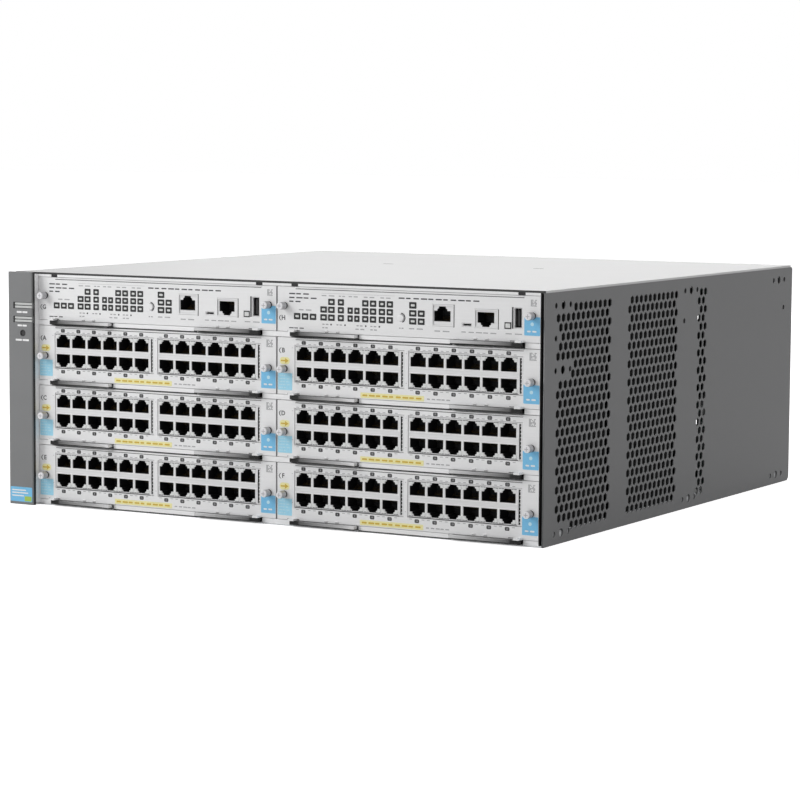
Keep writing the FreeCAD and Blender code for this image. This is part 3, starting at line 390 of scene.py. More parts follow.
class Kit:
    """Every finish of the switch, made once."""

    def __init__(self, colors):
        self.side = powder_paint("side_paint", tuple(colors.side), 0.35, 0.4)
        self.cover = cover_finish("cover_paint", tuple(colors.cover))
        self.face = silver_face("silver_face", tuple(colors.face))
        # The bezel's right side face is painted black as shade.
        self.bezel = moulded_plastic("bezel_plastic", tuple(colors.bezel), 0.42,
                                     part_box("front_bezel")[1][0] - 0.0001)
        self.steel = brushed_metal("zinc_steel", tuple(colors.steel), "X", 0.36, 0.6)
        left, right = [(box[0][0], box[1][0]) for box in (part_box("line_a_carrier"),
                                                          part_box("line_b_carrier"))]
        self.cage = cage_finish("cage_steel", (0.9, 0.9, 0.905), (left[0] - 0.0004, left[1]),
                                (right[0], right[1] + 0.0001))
        self.shell = brushed_metal("jack_shell", (0.74, 0.74, 0.745), "X", 0.34, 0.3)
        pivots = [joint_x(name + "_lever_" + side) for name in ("line_a", "line_b")
                  for side in ("left", "right")]
        self.lever = lever_finish("lever_steel", (0.7, 0.7, 0.705), pivots)
        self.knob = brushed_metal("knob_metal", (0.78, 0.77, 0.8), "Y", 0.3, 0.35)
        self.contact = brushed_metal("contact_gold", (0.2, 0.14, 0.05), "Y", 0.4)
        self.black = moulded_plastic("jack_black", (0.008, 0.008, 0.009), 0.45)
        # Near-black finish for black parts, also used for painted shade and painted shadows.
        self.dark = moulded_plastic("black_and_painted_shade", (0.015, 0.015, 0.016), 0.6)
        self.lens = lens_finish("light_pipe", (0.8, 0.81, 0.8))
        self.lamp = lens_finish("lamp_window", (0.74, 0.75, 0.74))
        self.status = lens_finish("status_lens", (0.62, 0.63, 0.62), LOCATOR_TOP)
        # Dark print ink, also used for painted shadow lines and painted shade in gaps.
        self.ink = printed_ink("dark_print_and_painted_shade", tuple(colors.print_and_shade_dark))
        self.grey_ink = printed_ink("grey_print", (0.42, 0.42, 0.43))
        self.tag = printed_ink("port_tag", (0.05, 0.05, 0.052))
        self.white = printed_ink("white_print", (0.86, 0.86, 0.86))
        self.pale = printed_ink("pale_print", (0.55, 0.8, 0.92))
        self.blue = printed_ink("blue_label", tuple(colors.blue), 0.4)
        self.sky = printed_ink("sky_label", (0.38, 0.74, 0.92), 0.4)
        self.knurl = brushed_metal("knob_knurl", (0.4, 0.4, 0.41), "Y", 0.3, 0.5, 0.2)
        self.yellow = printed_ink("yellow_label", tuple(colors.yellow), 0.42)
        self.gold = printed_ink("arrow_label", (0.66, 0.46, 0.06), 0.42)
        self.green = printed_ink("green_patch", (0.42, 0.6, 0.1), 0.42)
        self.board = board_finish("circuit_board")
        self.fan = moulded_plastic("fan_plastic", (0.018, 0.018, 0.019), 0.4)
        self.supply = powder_paint("supply_paint", (0.34, 0.345, 0.35), 0.5, 0.38)
        self.latch = moulded_plastic("latch_plastic", (0.03, 0.13, 0.32), 0.4)


KIT = {}


def kit():
    """The finishes, made when a piece first needs them."""
    if "made" not in KIT:
        KIT["made"] = Kit(bpy.context.scene.switch_colors)
    return KIT["made"]


# ---- mesh building ---------------------------------------------------------------------------
def ring(count, turn=0.5):
    angles = [2 * math.pi * (i + turn) / count for i in range(count)]
    return [(math.cos(a), math.sin(a)) for a in angles]


def rounded_rect(x0, x1, z0, z1, radius, steps=3):
    """Outline of a rectangle with rounded corners, counter-clockwise from the front."""
    corners = [(x1 - radius, z0 + radius, -90), (x1 - radius, z1 - radius, 0),
               (x0 + radius, z1 - radius, 90), (x0 + radius, z0 + radius, 180)]
    points = []
    for cx, cz, start in corners:
        for i in range(steps + 1):
            a = math.radians(start + 90 * i / steps)
            points.append((cx + radius * math.cos(a), cz + radius * math.sin(a)))
    return points


def rect(x0, x1, z0, z1):
    """Corners of a rectangle, counter-clockwise from the front."""
    return [(x0, z0), (x1, z0), (x1, z1), (x0, z1)]


def oval(x, z, across, up, count):
    """Outline of an oval from its half-widths."""
    return [(x + across * c, z + up * s) for c, s in ring(count)]


class Piece:
    """Gathers the faces of one piece in millimetres, then makes its object."""

    def __init__(self):
        self.mesh = bmesh.new()
        self.finishes = []

    def finish_index(self, finish):
        if finish not in self.finishes:
            self.finishes.append(finish)
        return self.finishes.index(finish)

    def face(self, finish, points):
        verts = [self.mesh.verts.new(Vector(p) * MM) for p in points]
        self.mesh.faces.new(verts).material_index = self.finish_index(finish)

    def prism(self, finish, outline, y0, y1, inset=0.0):
        """Upright outline swept from y0 (front) to y1, its front edge drawn in by inset."""
        count = len(outline)
        cx = sum(p[0] for p in outline) / count
        cz = sum(p[1] for p in outline) / count
        if inset:
            near = [(x + math.copysign(min(inset, abs(cx - x)), cx - x),
                     z + math.copysign(min(inset, abs(cz - z)), cz - z)) for x, z in outline]
            loops = [(near, y0), (outline, y0 + inset), (outline, y1)]
        else:
            loops = [(outline, y0), (outline, y1)]
        rings = [[self.mesh.verts.new(Vector((x, y, z)) * MM) for x, z in points]
                 for points, y in loops]
        index = self.finish_index(finish)
        caps = [rings[0], list(reversed(rings[-1]))]
        sides = [[a[i], a[(i + 1) % count], b[(i + 1) % count], b[i]]
                 for a, b in zip(rings, rings[1:]) for i in range(count)]
        for corners in caps + sides:
            self.mesh.faces.new(corners).material_index = index

    def slab(self, finish, x0, x1, y0, y1, z0, z1, inset=0.0):
        self.prism(finish, rect(x0, x1, z0, z1), y0, y1, inset)

    def sheet(self, finish, outline, holes, y0, y1):
        """Upright sheet with openings, filled from its outlines."""
        curve = bpy.data.curves.new("outline", "CURVE")
        curve.dimensions = "2D"
        curve.fill_mode = "BOTH"
        for points in [outline] + holes:
            spline = curve.splines.new("POLY")
            spline.points.add(len(points) - 1)
            spline.use_cyclic_u = True
            for target, (x, z) in zip(spline.points, points):
                target.co = (x * MM, z * MM, 0.0, 1.0)
        self.stand(finish, curve, y0, y1)

    def text(self, finish, body, x, z, size, y0, y1):
        """Figures or a letter centred at x, z."""
        curve = bpy.data.curves.new("figures", "FONT")
        curve.body = body
        curve.size = size * MM
        curve.align_x = "CENTER"
        curve.align_y = "CENTER"
        curve.resolution_u = 2
        curve.offset = size * 0.02 * MM
        self.stand(finish, curve, y0, y1, x, z)

    def stand(self, finish, curve, y0, y1, x=0.0, z=0.0):
        """Adds a flat curve or text, stood upright at x, z with its depth from y0 to y1."""
        curve.extrude = (y1 - y0) / 2 * MM
        maker = bpy.data.objects.new("maker", curve)
        made = bpy.data.meshes.new_from_object(maker)
        made.transform(Matrix.Translation((x * MM, (y0 + y1) / 2 * MM, z * MM))
                       @ Matrix.Rotation(math.pi / 2, 4, "X"))
        index = self.finish_index(finish)
        for polygon in made.polygons:
            polygon.material_index = index
        self.mesh.from_mesh(made)
        bpy.data.objects.remove(maker)
        bpy.data.curves.remove(curve)
        bpy.data.meshes.remove(made)

    def as_mesh(self, name):
        bmesh.ops.remove_doubles(self.mesh, verts=self.mesh.verts, dist=1e-7)
        bmesh.ops.recalc_face_normals(self.mesh, faces=self.mesh.faces)
        mesh = bpy.data.meshes.new(name)
        self.mesh.to_mesh(mesh)
        self.mesh.free()
        for finish in self.finishes:
            mesh.materials.append(finish)
        return mesh


def put(name, mesh, body, at=(0.0, 0.0, 0.0), replaces=()):
    """Makes a piece's object, sets it on its body and hides the CAD parts that it replaces."""
    piece = bpy.data.objects.new(name, mesh)
    bpy.context.collection.objects.link(piece)
    piece.location = at
    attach(piece, body)
    if replaces:
        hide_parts(*replaces)
    return piece


def module_corner(name):
    """Left end of a module's face plane at its row's base."""
    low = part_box(name + "_carrier")[0]
    return (low[0], FACE_Y, low[2] - LEVER_LIFT * MM)


def dress(nodes, finish, edge=0.0):
    """Gives CAD nodes a finish, with their sharp edges slightly rounded."""
    for name in nodes:
        node = frame["nodes"][name]
        node.data.materials.clear()
        node.data.materials.append(finish)
        if edge:
            weld = node.modifiers.new("weld", "WELD")
            weld.merge_threshold = 1e-6
            bevel = node.modifiers.new("edge", "BEVEL")
            bevel.width = edge
            bevel.segments = 2
            bevel.limit_method = "ANGLE"
            bevel.angle_limit = math.radians(50)
            bevel.harden_normals = False


# ---- side panels -----------------------------------------------------------------------------
BRACKET_ROWS = [(27.4, 163.2), (27.4, 7.2), (27.4, 119.0), (240.6, 163.2), (240.6, 7.2),
                (412.2, 163.2), (412.2, 7.2)]
SINGLE_HOLES = [(16.4, 141.0), (228.4, 141.0), (422.4, 141.0)]
VENT_COLUMNS = ((17.0, 104.0), (130.5, 217.0), (252.5, 270.0))
VENT_ROWS = 24
VENT_LOW = 10.9
TAPPED_PITCH = 11.0
TAPPED_R, PLAIN_R = 2.1, 3.1
TAPPED_CLEAR, PLAIN_CLEAR = 5.2, 6.4
CORNER_LOW_R, CORNER_TOP_R = 4.5, 2.2


def side_hole_loops(sizes):
    """Outlines of all the openings of a side panel as (y, z) in millimetres."""
    flats = sizes.hole_flats / MM
    pitch = sizes.hole_pitch / MM
    row_pitch = sizes.row_pitch / MM
    corner = flats / math.sqrt(3)
    small = [(y + side * TAPPED_PITCH, z) for y, z in BRACKET_ROWS for side in (-1, 1)]
    small += SINGLE_HOLES
    loops = [oval(y, z, TAPPED_R, TAPPED_R, 14) for y, z in small]
    loops += [oval(y, z, PLAIN_R, PLAIN_R, 16) for y, z in BRACKET_ROWS]
    keep_off = [(y, z, PLAIN_CLEAR) for y, z in BRACKET_ROWS]
    keep_off += [(y, z, TAPPED_CLEAR) for y, z in small]
    for first, last in VENT_COLUMNS:
        for row in range(VENT_ROWS):
            z = VENT_LOW + row * row_pitch
            y = first + flats / 2 + (row % 2) * pitch / 2
            while y + flats / 2 <= last + 0.2:
                if all(math.hypot(y - hy, z - hz) > reach for hy, hz, reach in keep_off):
                    loops.append([(y + corner * s, z + corner * c) for c, s in ring(6, 0.0)])
                y += pitch
    return loops


def side_outline():
    """Outer outline of a side panel, its rear corners rounded, as (y, z) in millimetres."""
    low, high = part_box("side_panel_right")
    depth = (high[1] - low[1]) / MM
    z0 = low[2] / MM
    z1 = high[2] / MM
    points = [(0, z0)]
    for cz, r, start in ((z0 + CORNER_LOW_R, CORNER_LOW_R, -90),
                         (z1 - CORNER_TOP_R, CORNER_TOP_R, 0)):
        for i in range(5):
            a = math.radians(start + 90 * i / 4)
            points.append((depth - r + r * math.cos(a), cz + r * math.sin(a)))
    return points + [(0, z1)]


class SWITCH_OT_side_panels(bpy.types.Operator):
    """Punched side panels with their honeycomb vents and bracket holes"""

    bl_idname = "switch.side_panels"
    bl_label = "Side panels"

    def execute(self, context):
        finishes = kit()
        sizes = context.scene.switch_sizes
        loops = side_hole_loops(sizes)
        for side, turn in (("right", 1), ("left", -1)):
            node = "side_panel_" + side
            piece = Piece()
            piece.sheet(finishes.side, side_outline(), loops, 0.0, SHEET)
            mesh = piece.as_mesh(node + "_punched")
            low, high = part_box(node)
            outer = high[0] if turn > 0 else low[0]
            upright = Matrix(((0, -turn, 0, outer), (1, 0, 0, FACE_Y), (0, 0, 1, 0), (0, 0, 0, 1)))
            mesh.transform(upright)
            if turn < 0:
                mesh.flip_normals()
            put(node + "_punched", mesh, "chassis", replaces=[node])
        return {"FINISHED"}


# ---- chassis metalwork -----------------------------------------------------------------------
COVER_SLOTS = ((169.0, 262.0), (301.6, 266.0))
RAIL_SHADOW_X, RAIL_END_X, RAIL_END_W = 67.2, 66.7, 2.8
NOTCH_W = 5.4


class SWITCH_OT_chassis(bpy.types.Operator):
    """Top cover, base, cage, rear panel and midplane"""

    bl_idname = "switch.chassis"
    bl_label = "Chassis metalwork"

    def execute(self, context):
        finishes = kit()
        edge = context.scene.switch_sizes.edge
        dress(["top_cover"], finishes.cover, edge)
        dress(["base_pan"], finishes.steel, edge)
        dress(["rear_panel"], finishes.steel)
        dress(["card_cage"], finishes.cage)
        dress(["midplane"], finishes.board)
        low, high = ([c / MM for c in corner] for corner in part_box("top_cover"))
        self.cover_slots(finishes, low[0], high[2])
        self.rail_shadows(finishes)
        # Painted shadow: a black strip under the cover's front hem.
        painted_hem_shadow = Piece()
        painted_hem_shadow.slab(finishes.dark, low[0] + 0.6, high[0] - 0.6, FACE_Y / MM + 0.25,
                  FACE_Y / MM + 0.8, high[2] - 2.1, high[2] - 1.5)
        put("cover_hem_shadow", painted_hem_shadow.as_mesh("cover_hem_shadow"), "chassis")
        return {"FINISHED"}

    @staticmethod
    def cover_slots(finishes, left, top):
        """Two lance slots, drawn as black patches of painted shade laid on the cover."""
        front = FACE_Y / MM
        piece = Piece()
        for x, y in COVER_SLOTS:
            loop = rounded_rect(left + x - 4.6, left + x + 4.6, 0, 3.2, 1.5)
            start = len(piece.mesh.verts)
            # Painted shade: each slot is a flat black patch, not an opening.
            piece.prism(finishes.dark, loop, 0.0, 0.04)
            piece.mesh.verts.ensure_lookup_table()
            for vert in piece.mesh.verts[start:]:
                vert.co = Vector((vert.co.x, (front + y) * MM + vert.co.z, top * MM - vert.co.y
                                  + 0.00002))
        put("cover_slots", piece.as_mesh("cover_slots"), "chassis")

    @staticmethod
    def rail_shadows(finishes):
        """Painted shadow lines under the rails, the rail ends beside the grips, and black patches
        of painted shade in the top notches.
        """
        front = FACE_Y / MM
        rails = Piece()
        for name in MODULES:
            x, _, z = (c / MM for c in module_corner(name))
            # Painted shadow: a dark line under each rail.
            rails.slab(finishes.dark, x + RAIL_SHADOW_X, x + MODULE_W - RAIL_SHADOW_X,
                       front - 0.05, front + 0.02, z - 0.45, z + 0.35)
            for inner in (x + RAIL_END_X, x + MODULE_W - RAIL_END_X - RAIL_END_W):
                rails.slab(finishes.cage, inner, inner + RAIL_END_W, front + 1.0, front + 2.2,
                           z - 0.3, z + 3.2)
            if name in MGMT_MODULES:
                # Painted shade: black patches fill the top notches of the management modules.
                for notch in (x + 11.5, x + MODULE_W - 16.9):
                    rails.slab(finishes.dark, notch, notch + NOTCH_W, front + 0.2, front + 1.15,
                               z + 35.6, z + 37.3)
        put("rail_shadows", rails.as_mesh("rail_shadows"), "chassis")


# ---- front bezel -----------------------------------------------------------------------------
class SWITCH_OT_bezel(bpy.types.Operator):
    """Plastic bezel with its status windows, locator lens, print and label"""

    bl_idname = "switch.bezel"
    bl_label = "Front bezel"

    def execute(self, context):
        finishes = kit()
        dress(["front_bezel"], finishes.bezel)
        dress(["status_lights"], finishes.status, 0.0002)
        low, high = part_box("front_bezel")
        x0 = low[0] / MM
        front = low[1] / MM
        width = (high[0] - low[0]) / MM
        proud = context.scene.switch_sizes.label_proud / MM
        piece = Piece()

        for z, length in ((144.2, 10.0), (134.2, 8.6), (123.4, 12.4)):
            for side in (-1, 1):
                x = x0 + 13.0 + side * length * 0.26
                half = length * 0.235
                word = rounded_rect(x - half, x + half, z - 0.7, z + 0.7, 0.42, 2)
                piece.prism(finishes.white, word, front - proud, front + 0.02)
        # Painted shade: thin black slabs set into the bezel beside two status windows.
        for z in (149.2, 138.8):
            piece.slab(finishes.dark, x0 + width - 17.4, x0 + width - 15.8, front + 1.36,
                       front + 1.4, z - 2.2, z + 2.2)
        label = rounded_rect(x0 + 1.2, x0 + 21.2, 2.0, 13.0, 0.8)
        piece.prism(finishes.blue, label, front - proud, front + 0.02)
        for z, length in ((10.6, 13.0), (8.6, 15.0), (6.4, 11.0)):
            bar_loop = rounded_rect(x0 + 2.6, x0 + 2.6 + length, z - 0.45, z + 0.45, 0.3, 1)
            piece.prism(finishes.white, bar_loop, front - 2 * proud, front)
        patch = rounded_rect(x0 + 14.2, x0 + 20.6, 2.5, 6.2, 0.5)
        piece.prism(finishes.green, patch, front - 2 * proud, front)
        put("bezel_print", piece.as_mesh("bezel_print"), "chassis")
        return {"FINISHED"}


# ---- modular jacks ---------------------------------------------------------------------------
def jack_loop(x, z, up, size=JACK_SIZE):
    """Opening of a modular jack with its stepped latch notch, from its closed edge at z."""
    side, plain = size
    profile = [(-side, 0.0), (-side, plain), (-4.1, plain), (-3.9, plain + 1.3),
               (-2.9, plain + 1.7), (-2.7, plain + 3.0), (2.7, plain + 3.0), (2.9, plain + 1.7),
               (3.9, plain + 1.3), (4.1, plain), (side, plain), (side, 0.0)]
    return [(x + px, z + (pz if up else -pz)) for px, pz in profile]


def jack_inside(piece, finishes, x, z, up, front, size=JACK_SIZE):
    """Black liner of a jack with its row of contact springs."""
    loop = jack_loop(x, z, up, size)
    back = front + LINER_DEPTH
    count = len(loop)
    for i in range(count):
        (xa, za), (xb, zb) = loop[i], loop[(i + 1) % count]
        piece.face(finishes.black, [(xa, front, za), (xb, front, zb), (xb, back, zb),
                                    (xa, back, za)])
    piece.face(finishes.black, [(px, back, pz) for px, pz in loop])
    sign = 1 if up else -1
    for i in range(8):
        cx = x + (i - 3.5) * 1.02
        za = z + sign * 0.7
        zb = z + sign * 3.4
        piece.face(finishes.contact, [(cx - 0.2, front + 4.5, za), (cx + 0.2, front + 4.5, za),
                                      (cx + 0.2, front + 9.5, zb), (cx - 0.2, front + 9.5, zb)])


def corner_lens(piece, finishes, x, z, up, side, front):
    """Light pipe in the shoulder beside a jack's notch."""
    sign = 1 if up else -1
    shoulder = [(4.35, 6.75), (6.55, 6.75), (6.55, 8.2), (6.0, 9.3), (4.6, 9.5), (3.3, 9.2),
                (3.15, 8.5), (4.15, 8.1)]
    loop = [(x + side * px, z + sign * pz) for px, pz in shoulder]
    piece.prism(finishes.lens, loop, front - 0.3, front + 0.2, 0.18)
    # Painted shade: a dark line along the top of the light pipe's pocket.
    across = sorted((x + side * 3.0, x + side * 6.8))
    upright = sorted((z + sign * 9.35, z + sign * 9.75))
    piece.slab(finishes.ink, *across, front - 0.08, front, *upright)
    if not up:
        mark = oval(x + side * 5.3, z - 8.4, side * 0.5, -0.35, 8)
        piece.prism(finishes.white, mark, front - 0.38, front - 0.2)


def open_box(piece, finish, window, y0, y1):
    """Floor, lid and back of a socket's folded box, open to the front."""
    x0, x1, z0, z1 = window
    piece.slab(finish, x0, x1, y0, y1, z0, z0 + FOLD)
    piece.slab(finish, x0, x1, y0, y1, z1 - FOLD, z1)
    piece.slab(finish, x0, x1, y1 - FOLD, y1, z0, z1)


def port_block(piece, finishes, x0, x1, jacks):
    """Shield shell of twelve jacks with liners, light pipes and the spring strip at its side."""
    front = PORT_FACE
    z0, z1 = BLOCK_Z
    edges = [(x, JACK_MID + (JACK_GAP / 2 if up else -JACK_GAP / 2), up)
             for x in jacks for up in (True, False)]
    holes = [jack_loop(*edge) for edge in edges] + [rect(x1 - 2.6, x1 - 1.1, z0 + 0.9, z1 - 0.9)]
    piece.sheet(finishes.shell, rect(x0, x1, z0, z1), holes, front, front + SHELL)
    for x, z, up in edges:
        jack_inside(piece, finishes, x, z, up, front + SHELL)
        for side in (-1, 1):
            corner_lens(piece, finishes, x, z, up, side, front)
    for low, high in ((JACK_MID - 2.3, JACK_MID - 1.5), (JACK_MID + 1.5, JACK_MID + 2.3)):
        piece.slab(finishes.white, x0 + 0.3, x1 - 3.0, front - 0.22, front + 0.2, low, high, 0.15)
    piece.slab(finishes.shell, x0 + 0.3, x1 - 3.0, front - 0.1, front + 0.2, JACK_MID - 1.5,
               JACK_MID + 1.5)
    for x in jacks[1:]:
        for low, high in ((z0 + 3.6, JACK_MID - 2.4), (JACK_MID + 2.4, z1 - 3.6)):
            middle = x - JACK_PITCH / 2
            piece.slab(finishes.white, middle - 0.65, middle + 0.65, front - 0.15, front + 0.2,
                       low, high, 0.15)
    # Painted shadow: a dark line along the block's lower edge.
    piece.slab(finishes.ink, x0 + 0.6, x1 - 3.4, front - 0.35, front, z0 - 0.1, z0 + 0.35)
    # Painted shade: a dark sheet behind the spring strip's opening.
    piece.slab(finishes.dark, x1 - 2.6, x1 - 1.1, front + 1.2, front + 1.4, z0 + 0.9, z1 - 0.9)
    for i in range(9):
        z = z0 + 2.4 + i * 2.6
        piece.slab(finishes.shell, x1 - 2.2, x1 - 1.3, front + 0.5, front + 1.0, z, z + 0.6, 0.15)
    open_box(piece, finishes.shell, (x0, x1, z0, z1), front + SHELL, front + BLOCK_DEPTH)


class SWITCH_OT_line_ports(bpy.types.Operator):
    """Shielded jack blocks of the line modules"""

    bl_idname = "switch.line_ports"
    bl_label = "Line module jacks"

    def execute(self, context):
        finishes = kit()
        piece = Piece()
        for (x0, x1), jacks in zip(BLOCKS, (JACK_X[:6], JACK_X[6:])):
            port_block(piece, finishes, x0, x1, jacks)
        mesh = piece.as_mesh("jack_blocks")
        for name in LINE_MODULES:
            put(name + "_jacks", mesh, name, module_corner(name),
                [name + "_ports"])
        return {"FINISHED"}


# ---- labels and print on the line modules ----------------------------------------------------
def text_bar(piece, finish, x0, x1, z, height, y0, y1, words):
    """A line of small print drawn as short bars of uneven length."""
    x = x0
    step = (x1 - x0) / words
    for i in range(words):
        length = step * (0.62 + 0.26 * ((i * 7 + words * 3) % 5) / 4)
        loop = rounded_rect(x, x + length, z - height / 2, z + height / 2, height * 0.3, 1)
        piece.prism(finish, loop, y0, y1)
        x += step


def blue_label(piece, finishes, x0, x1, z0, z1, proud, mark):
    """Blue label at a face's end, with a round mark or with lines of print."""
    stock = finishes.blue if mark else finishes.sky
    piece.prism(stock, rounded_rect(x0, x1, z0, z1, 0.5), -proud, 0.0)
    high = -2 * proud
    if mark:
        cx = (x0 + x1) / 2
        cz = z0 + (z1 - z0) * 0.66
        piece.prism(finishes.pale, oval(cx, cz - 0.6, 1.3, 1.3, 14), high, -proud)
        text_bar(piece, finishes.white, x0 + 2.2, x1 - 2.0, z0 + 2.8, 1.1, high, -proud, 2)
    else:
        for i, share in enumerate((0.55, 0.95, 0.85, 0.95, 0.6)):
            z = z1 - 1.9 - i * (z1 - z0 - 2.8) / 4.4
            text_bar(piece, finishes.pale, x0 + 1.0, x0 + 1.0 + (x1 - x0 - 2.0) * share, z, 0.7,
                     high, -proud, 3)


def port_tag(piece, finishes, x, z, figures, proud):
    """Rounded tag round a port's number."""
    piece.prism(finishes.tag, rounded_rect(x - 1.75, x + 1.75, z - 1.3, z + 1.3, 0.7), -proud, 0.0)
    piece.text(finishes.grey_ink, figures, x, z, 1.7, -1.6 * proud, -proud)


def code_print(piece, finishes, x0, z0, size, proud):
    """Square field of small printed blocks."""
    cell = size / 7
    for i in range(7):
        for j in range(7):
            if (i * 5 + j * 3 + i * j) % 4 < 2 or i == 0 or j == 0:
                piece.slab(finishes.grey_ink, x0 + i * cell, x0 + (i + 0.85) * cell, -proud, 0.0,
                           z0 + j * cell, z0 + (j + 0.85) * cell)


def module_print(piece, finishes, proud):
    """Print that a line module of any slot has."""
    for i, x in enumerate(JACK_X):
        port_tag(piece, finishes, x, 40.6, str(2 * i + 1), proud)
        port_tag(piece, finishes, x, 10.2, str(2 * i + 2), proud)
        for side in (-1, 1):
            for z in (39.6, 11.4):
                x0 = x + side * 4.9
                piece.slab(finishes.grey_ink, x0 - 1.1, x0 + 1.1, -proud, 0.0, z - 0.22, z + 0.22)
    arrow = rounded_rect(2.0, 10.2, 24.9, 29.9, 2.2)
    piece.prism(finishes.yellow, arrow, -proud, 0.0)
    shape = [(2.9, 26.9), (6.4, 26.9), (6.4, 25.6), (9.4, 27.4), (6.4, 29.2), (6.4, 27.9),
             (2.9, 27.9)]
    piece.prism(finishes.gold, shape, -2 * proud, -proud)
    blue_label(piece, finishes, 0.5, 12.3, 6.5, 18.6, proud, False)
    blue_label(piece, finishes, 196.0, 208.2, 7.0, 19.8, proud, True)
    code_print(piece, finishes, 200.4, 36.4, 5.4, proud)
    piece.prism(finishes.yellow, rounded_rect(68.4, 119.2, 4.3, 8.0, 0.4), -proud, 0.0)
    text_bar(piece, finishes.gold, 69.9, 118.2, 6.1, 1.2, -2 * proud, -proud, 9)
    text_bar(piece, finishes.grey_ink, 121.4, 140.4, 6.1, 0.8, -proud, 0.0, 5)
    for x in (12.6, 105.0):
        for z in (36.6, 16.0):
            piece.slab(finishes.grey_ink, x - 0.5, x + 0.5, -proud, 0.0, z, z + 0.3)


def face_trim(piece, finishes, top):
    """Rolled lip along a face's top with a painted shadow line under it; along its foot, painted
    shadow lines near both ends and pressings, each with a dark line under it.
    """
    piece.slab(finishes.face, 15.0, 196.0, -0.55, 0.1, top - 1.15, top - 0.05, 0.3)
    # Painted shadow: a dark line under the lip.
    piece.slab(finishes.ink, 15.0, 196.0, -0.04, 0.0, top - 1.6, top - 1.15)
    # Painted shadow: dark lines near both ends of the foot, above the lever pivots.
    for x0, x1 in ((8.4, 18.4), (MODULE_W - 23.0, MODULE_W - 14.6)):
        piece.slab(finishes.ink, x0, x1, -0.04, 0.0, 4.0, 4.5)
    # Each pressing has a dark line under it.
    for x in (40.6, 49.6, MODULE_W - 49.6, MODULE_W - 40.6):
        piece.prism(finishes.face, oval(x, 4.9, 1.6, 0.7, 12), -0.5, 0.0, 0.3)
        piece.slab(finishes.ink, x - 1.4, x + 1.4, -0.05, 0.0, 3.9, 4.15)


def knob(piece, finishes, x, z):
    """Knurled head of a captive screw, with a painted shadow where it meets the face."""
    for i in range(KNOB_TEETH):
        a = math.pi * 2 * i / KNOB_TEETH
        loop = [(x + KNOB_R * math.cos(a + t) * r, z + KNOB_R * math.sin(a + t) * r)
                for t, r in ((-0.1, 1.0), (-0.04, 1.06), (0.04, 1.06), (0.1, 1.0), (0.1, 0.9),
                             (-0.1, 0.9))]
        piece.prism(finishes.knurl, loop, -6.6, -1.8)
    radius = KNOB_R * 1.01
    piece.prism(finishes.knob, oval(x, z, radius, radius, 24), -7.5, -1.6, 0.5)
    # Painted shadow: a black collar between the head and the face.
    piece.prism(finishes.dark, oval(x, z, radius, radius, 20), -1.6, -0.01)
    # Painted shade: a grey cross drawn flat on the head for its shaded cross recess.
    for across, up in ((0.22, 1.5), (1.5, 0.22)):
        piece.slab(finishes.grey_ink, x - across, x + across, -7.56, -7.4, z - up, z + up)


def module_trim(name, finishes, top):
    """Trim and captive screws of a face whose upper edge is at top."""
    piece = Piece()
    face_trim(piece, finishes, top)
    for x in (SCREW_X, MODULE_W - SCREW_X):
        knob(piece, finishes, x, SCREW_Z)
    return piece.as_mesh(name)


def put_face(name, finishes, proud, print_mesh, trim_mesh, mark_z):
    """Sets a module's print and trim on it, with its slot mark."""
    at = module_corner(name)
    put(name + "_print", print_mesh, name, at)
    put(name + "_trim", trim_mesh, name, at)
    slot_mark(name, finishes, proud, mark_z)


def slot_mark(name, finishes, proud, z):
    """Slot letter with the arc printed beside it."""
    piece = Piece()
    x = MARK_X
    arc = [(x + 2.9 * math.cos(a), z + 2.2 * math.sin(a))
           for a in [math.radians(115 + 13 * i) for i in range(11)]]
    inner = [(x + 2.25 * math.cos(a), z + 2.0 * math.sin(a))
             for a in [math.radians(245 - 13 * i) for i in range(11)]]
    for i in range(10):
        quad = [arc[i], arc[i + 1], inner[9 - i], inner[10 - i]]
        piece.prism(finishes.ink, quad, -proud, 0.0)
    piece.text(finishes.ink, SLOT_LETTERS[name], x + 0.7, z, 4.6, -proud, 0.0)
    put(name + "_slot_mark", piece.as_mesh(name + "_slot_mark"), name,
        module_corner(name))


class SWITCH_OT_line_faces(bpy.types.Operator):
    """Faces of the line modules: finish, print, labels and captive screws"""

    bl_idname = "switch.line_faces"
    bl_label = "Line module faces"

    def execute(self, context):
        finishes = kit()
        proud = context.scene.switch_sizes.label_proud / MM
        dress([name + "_carrier" for name in LINE_MODULES], finishes.face)
        printed = Piece()
        module_print(printed, finishes, proud)
        print_mesh = printed.as_mesh("line_print")
        trim_mesh = module_trim("line_trim", finishes, LINE_TOP)
        for name in LINE_MODULES:
            put_face(name, finishes, proud, print_mesh, trim_mesh, LINE_MARK_Z)
        return {"FINISHED"}


# ---- management modules ----------------------------------------------------------------------
# middle, closed edge and way up of each single jack, then the edges of its window
FRAMED_JACKS = ((132.8, 15.3, True, (125.0, 142.0, 12.2, 26.9)),
                (166.6, 22.9, False, (158.0, 176.2, 12.2, 24.9)))
# edges of each serial bus socket's window, then of its tongue
USB_SOCKETS = (((188.0, 194.6, 12.9, 26.9), (190.6, 192.4, 14.6, 25.2)),
               ((148.4, 156.0, 12.7, 15.0), (149.6, 154.8, 13.7, 14.1)))


